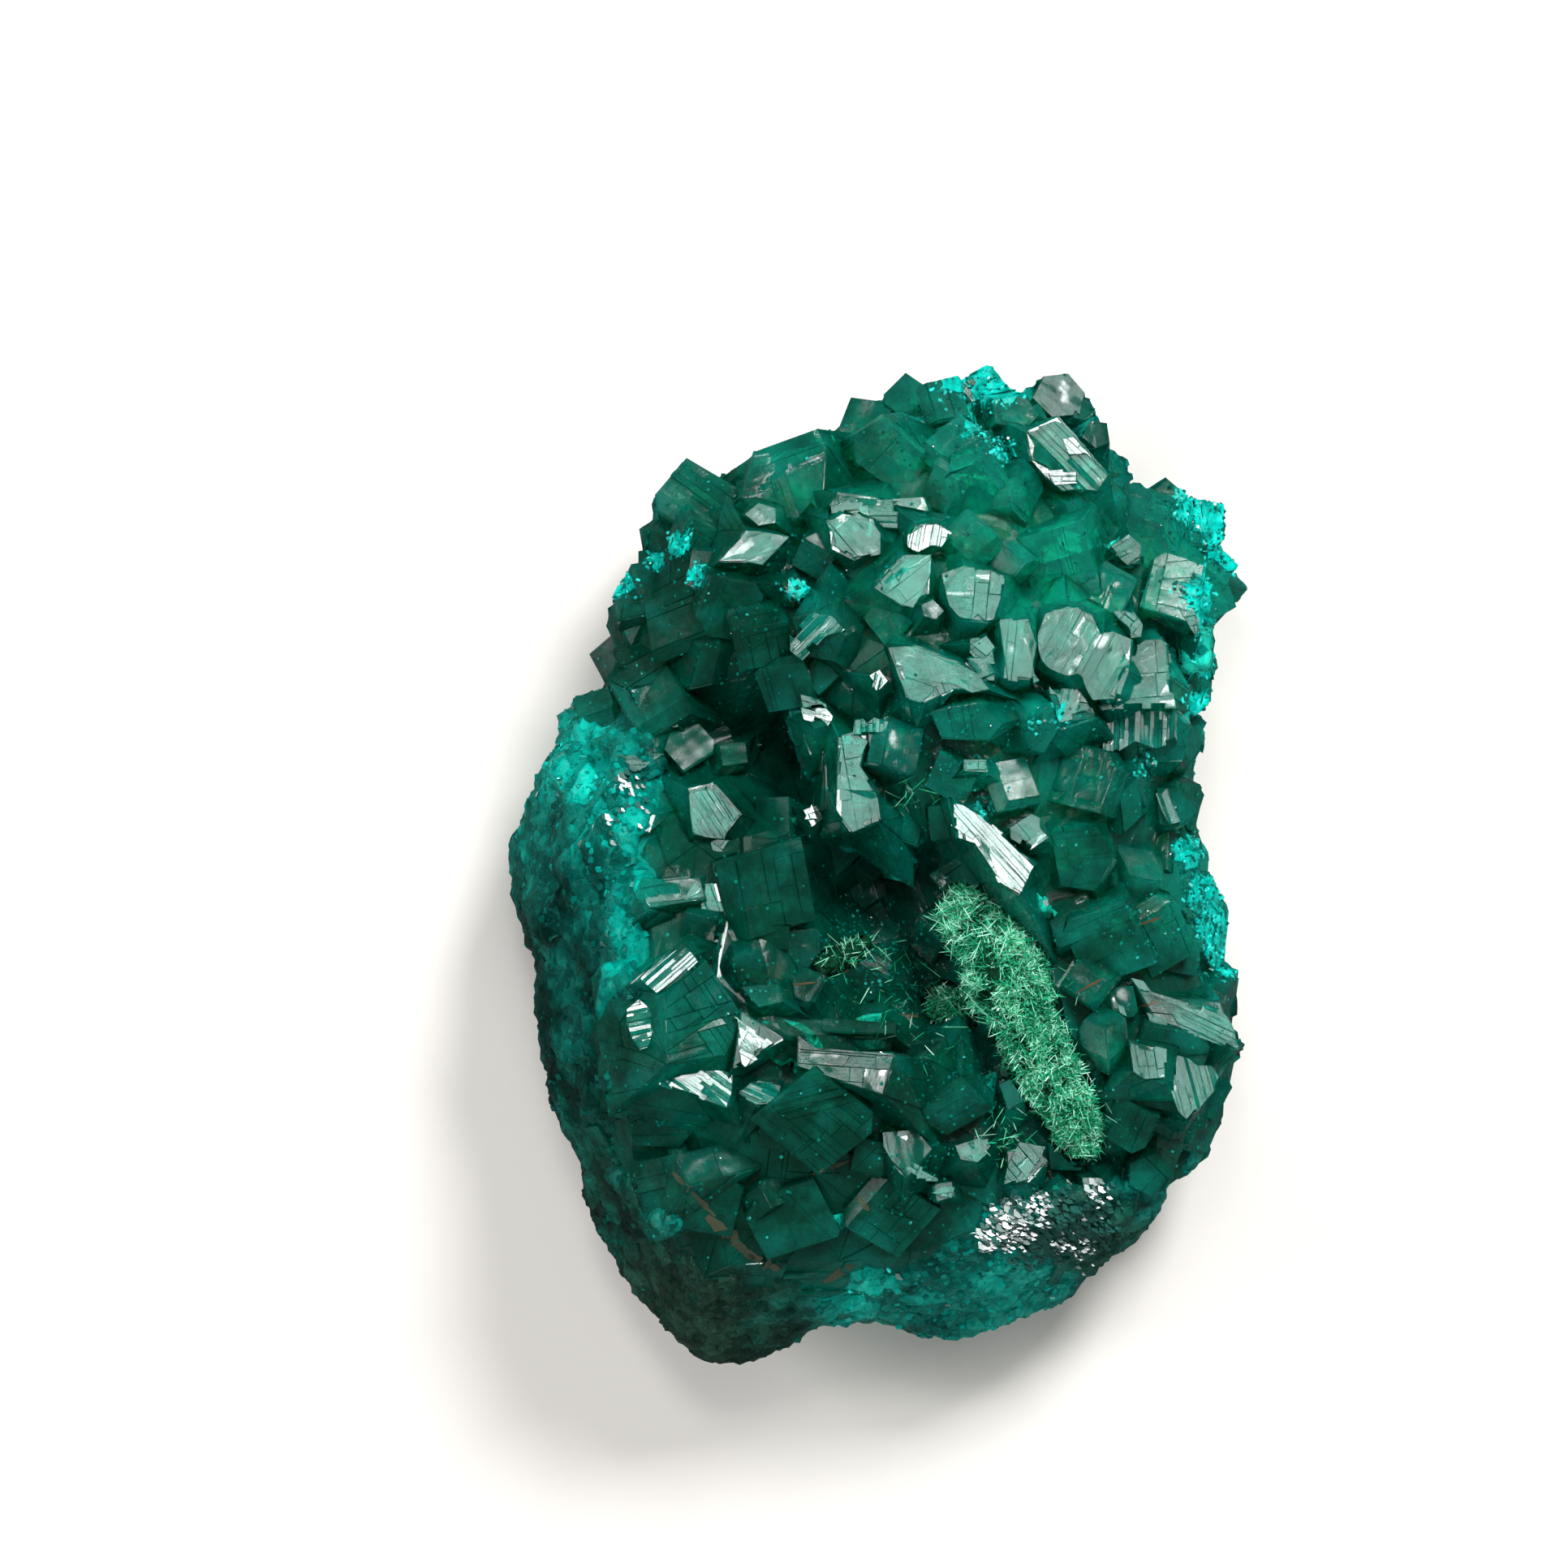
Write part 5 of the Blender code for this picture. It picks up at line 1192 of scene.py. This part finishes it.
LOOSE_ZONES = (
    (-1.1, -3.3, 1.0, 0.4), (0.4, -4.4, 1.4, 0.35), (1.0, 2.4, 0.8, 0.5), (4.4, -9.8, 0.9, 0.7),
    (6.6, -4.2, 0.6, 0.5), (7.9, -8.6, 0.7, 0.5), (2.2, -7.0, 1.0, 0.2),
)


def needle_form():
    """A three-sided needle one unit long and one across, pointed at both ends."""
    bm = bmesh.new()
    rings = []
    for level in (-0.3, 0.3):
        ring = []
        for side in range(3):
            angle = math.radians(120 * side)
            ring.append(bm.verts.new((0.5 * math.cos(angle), 0.5 * math.sin(angle), level)))
        rings.append(ring)
    ends = [bm.verts.new((0, 0, -0.5)), bm.verts.new((0, 0, 0.5))]
    for side in range(3):
        after = (side + 1) % 3
        bm.faces.new((rings[0][side], rings[0][after], rings[1][after], rings[1][side]))
        bm.faces.new((rings[0][after], rings[0][side], ends[0]))
        bm.faces.new((rings[1][side], rings[1][after], ends[1]))
    return bpy.data.objects.new("needle", mesh_of(bm, "needle"))


needle = needle_form()
recipe = Recipe("malachite needles")
clumps = recipe.noise(recipe.coordinates(), 900.0, 3.0, 0.6)
shade = recipe.math("ADD", recipe.attribute("shade"), recipe.range(clumps, 0.3, 0.7, -0.35, 0.35))
tone = recipe.mix(recipe.range(shade, 0.0, 0.6), *NEEDLE_TONES)
# Partly painted highlight: the palest needles are coloured near white.
tone = recipe.mix(recipe.range(shade, 0.55, 1.0), tone, NEEDLE_PALE_AND_HIGHLIGHT)
needle_finish = recipe.surface(tone, 0.14, IOR=MALACHITE_IOR)

recipe = Recipe("malachite lump")
place = recipe.coordinates()
# Painted shade: the lump is coloured near black, as the felt's depths look between the needles.
shaded_lump_finish = recipe.surface(
    recipe.mix(recipe.noise(place, 1500.0, 3.0), *LUMP_SHADE_TONES), 0.7,
    Normal=recipe.bump(recipe.noise(place, 3000.0, 3.0), 1.0, 0.1 * MM),
)

for seam in ("malachite_band", "malachite_patch", "malachite_tuft"):
    bm = merged_copy(seam)
    bmesh.ops.subdivide_edges(bm, edges=bm.edges, cuts=3, use_grid_fill=True)
    for vertex in bm.verts:
        swell = 0.30 * noise.noise(vertex.co / (1.2 * MM)) + 0.18 * noise.noise(vertex.co / (0.45 * MM))
        vertex.co += vertex.normal * (swell - 0.05) * MM
    outer = mesh_of(bm, seam)
    places = places_of(outer)
    gaps = np.array([noise.noise(Vector(place) / (0.55 * MM)) for place in places.tolist()])
    gaps = np.clip(0.65 + 2.2 * gaps, 0.05, 1.0)
    mark(outer, "long", zone_density(places, LONG_ZONES) * gaps)
    mark(outer, "short", zone_density(places, SHORT_ZONES) * gaps)
    lump = new_object(seam + "_lump", outer.copy())
    sunk = lump.modifiers.new("sunk", "DISPLACE")
    sunk.strength = -LUMP_SUNK
    sunk.mid_level = 0.0
    finished(lump)
    lump.data.materials.append(shaded_lump_finish)
    lump.data.shade_smooth()
    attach(lump, "root")
    felt = grow(
        seam + "_needles", outer, form=needle, where="long", most_per_area=3.6e8, shortest=0.3 * MM,
        longest=1.1 * MM, own_width=NEEDLE_WIDTH, width_by_length=0.0, upright=0.4,
        lowest=-0.45 * MM, highest=0.20 * MM, seed=4, finish=needle_finish,
    )
    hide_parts(seam)
    if seam == "malachite_tuft":
        continue
    mat = grow(
        seam + "_mat", outer, form=needle, where="short", most_per_area=6.0e8, shortest=0.12 * MM,
        longest=0.42 * MM, own_width=NEEDLE_WIDTH, width_by_length=0.03, upright=0.7,
        lowest=-0.30 * MM, highest=0.12 * MM, seed=6, finish=needle_finish,
    )

places = places_of(ground)
mark(ground, "loose", zone_density(places, LOOSE_ZONES) * (places[:, 2] > LOOSE_ABOVE))
loose = grow(
    "loose_needles", ground, form=needle, where="loose", most_per_area=1.2e7, shortest=0.35 * MM,
    longest=1.3 * MM, own_width=NEEDLE_WIDTH, width_by_length=0.0, upright=0.35, lowest=0.0,
    highest=0.15 * MM, seed=10, finish=needle_finish,
)


# Films
# Thin brown films of iron rust and clay on a few cracks of the crystals, each a flake that lies on the
# face below it.
FILM_THICKNESS = 0.02 * MM
FILM_STEPS = 8
FILM_TEAR = 0.6 * MM
DROP_HEIGHT = 50 * MM
# Each film: the places of its two ends in millimetres, its width, and whether it is rust.
FILMS = (
    ((-7.5, -11.0), (-6.0, -12.6), 0.24, 0), ((-6.3, -12.6), (-4.6, -14.2), 0.62, 0),
    ((-5.0, -13.9), (-3.7, -14.6), 0.45, 0), ((-2.1, -15.1), (-1.0, -14.4), 0.34, 0),
    ((-2.6, -11.1), (-1.2, -10.6), 0.16, 0), ((-0.9, -11.9), (-0.5, -12.4), 0.2, 0),
    ((9.1, -2.2), (10.0, -1.9), 0.12, 1), ((6.9, -4.6), (7.8, -4.1), 0.10, 1),
    ((9.2, -5.1), (9.9, -4.9), 0.10, 1), ((-3.2, -4.3), (-2.4, -4.2), 0.10, 1),
    ((-1.4, -3.9), (-0.9, -3.6), 0.08, 1), ((0.6, -5.4), (1.3, -5.5), 0.10, 1),
    ((8.1, -11.7), (8.5, -13.2), 0.12, 1), ((5.8, -10.7), (6.1, -11.3), 0.14, 1),
)
surface = BVHTree.FromObject(crystals, bpy.context.evaluated_depsgraph_get())
bm = bmesh.new()
films_dice = random.Random(8)
for start, end, width, rusty in FILMS:
    start, end = Vector((*start, 0)) * MM, Vector((*end, 0)) * MM
    side = Vector((start.y - end.y, end.x - start.x, 0)).normalized() * width * MM * 0.5
    rows = []
    for step in range(FILM_STEPS + 1):
        share = step / FILM_STEPS
        middle = start.lerp(end, share)
        round_ends = math.sqrt(math.sin(math.pi * min(max(share, 0.06), 0.94)))
        girth = round_ends * films_dice.uniform(0.4, 1.3)
        row = []
        for edge in (-1, 1):
            spot = middle + side * girth * edge
            hit, facing, _, _ = surface.ray_cast(spot + Vector((0, 0, DROP_HEIGHT)), Vector((0, 0, -1)))
            row.append(bm.verts.new(hit + facing * FILM_THICKNESS if hit else spot))
        rows.append(row)
    for lower, upper in zip(rows, rows[1:]):
        if abs(lower[0].co.z - upper[1].co.z) < FILM_TEAR:
            made = bm.faces.new((lower[0], lower[1], upper[1], upper[0]))
            made.material_index = rusty
bmesh.ops.recalc_face_normals(bm, faces=bm.faces)
films = new_object("films", mesh_of(bm, "films"))
thickened = films.modifiers.new("thickness", "SOLIDIFY")
thickened.thickness = FILM_THICKNESS
finished(films)
for name, dark, light in (
    ("clay film", (0.024, 0.036, 0.022), (0.075, 0.085, 0.05)),
    ("rust film", (0.045, 0.035, 0.018), (0.11, 0.08, 0.04)),
):
    recipe = Recipe(name)
    flecks = recipe.noise(recipe.coordinates(), 2500.0, 3.0)
    films.data.materials.append(recipe.surface(recipe.mix(flecks, dark, light), 0.4))
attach(films, "root")


# Floor, light and camera
# A pale floor, a softbox that the level faces mirror, and a smaller lamp for the white glints. The
# camera looks straight down, as the photograph does.
FLOOR_REACH = 0.5
FLOOR_COLOUR = (0.80, 0.77, 0.73, 1.0)
bm = bmesh.new()
bmesh.ops.create_grid(bm, x_segments=1, y_segments=1, size=FLOOR_REACH)
floor = new_object("floor", mesh_of(bm, "floor"))
floor.data.materials.append(Recipe("floor").surface(FLOOR_COLOUR, 0.8))
floor.visible_glossy = False

# The photograph: pixels in a millimetre, its side, and the pixel that shows the specimen's middle.
PHOTO_SCALE = 34.0
PHOTO_SIDE = 1932
PHOTO_MIDDLE = (1086.1, 1063.6)
FOCUS_HEIGHT = 8 * MM
CAMERA_DISTANCE = 400 * MM
SENSOR = 36.0

camera = new_object("camera", bpy.data.cameras.new("camera"))
camera.location = (
    (PHOTO_SIDE / 2 - PHOTO_MIDDLE[0]) / PHOTO_SCALE * MM,
    (PHOTO_MIDDLE[1] - PHOTO_SIDE / 2) / PHOTO_SCALE * MM,
    FOCUS_HEIGHT + CAMERA_DISTANCE,
)
camera.data.sensor_width = SENSOR
camera.data.lens = SENSOR * CAMERA_DISTANCE / (PHOTO_SIDE / PHOTO_SCALE * MM)
camera.data.clip_start = 0.01
bpy.context.scene.camera = camera


def disc_light(name, from_zenith, turn, distance, radius, radiance):
    """A round softbox that faces the specimen, placed by its angle from straight up and its direction."""
    data = bpy.data.lights.new(name, "AREA")
    data.shape = "DISK"
    data.size = 2 * radius
    data.energy = radiance * math.pi * math.pi * radius * radius
    light = new_object(name, data)
    direction = direction_at(from_zenith, turn)
    light.location = direction * distance + Vector((0, 0, FOCUS_HEIGHT))
    light.rotation_euler = direction.to_track_quat("Z", "Y").to_euler()
    return light


disc_light("level softbox", 12, 83, 0.62, 0.09, 3.4)
disc_light("glint lamp", 21, 101, 0.6, 0.058, 20.0)
# The fills light the mineral and aren't mirrored in it. What a clear face mirrors counts as transmission,
# so the low fill, which would lie on such faces as a grey veil, is hidden from that as well.
for name, from_zenith, turn, radius, radiance in (
    ("key", 42, 60, 0.10, 43.0), ("left fill", 55, 170, 0.14, 10.5), ("low fill", 60, 285, 0.12, 12.0),
):
    fill = disc_light(name, from_zenith, turn, 0.6, radius, radiance)
    fill.visible_glossy = False
    fill.visible_transmission = name != "low fill"

world = bpy.data.worlds.new("studio")
world.use_nodes = True
world.node_tree.nodes["Background"].inputs["Color"].default_value = (0.9, 0.95, 1.0, 1.0)
world.node_tree.nodes["Background"].inputs["Strength"].default_value = 0.07
scene = bpy.context.scene
scene.world = world
scene.view_settings.view_transform = "Standard"
scene.cycles.max_bounces = 12
scene.cycles.transmission_bounces = 10
scene.cycles.sample_clamp_indirect = 4.0
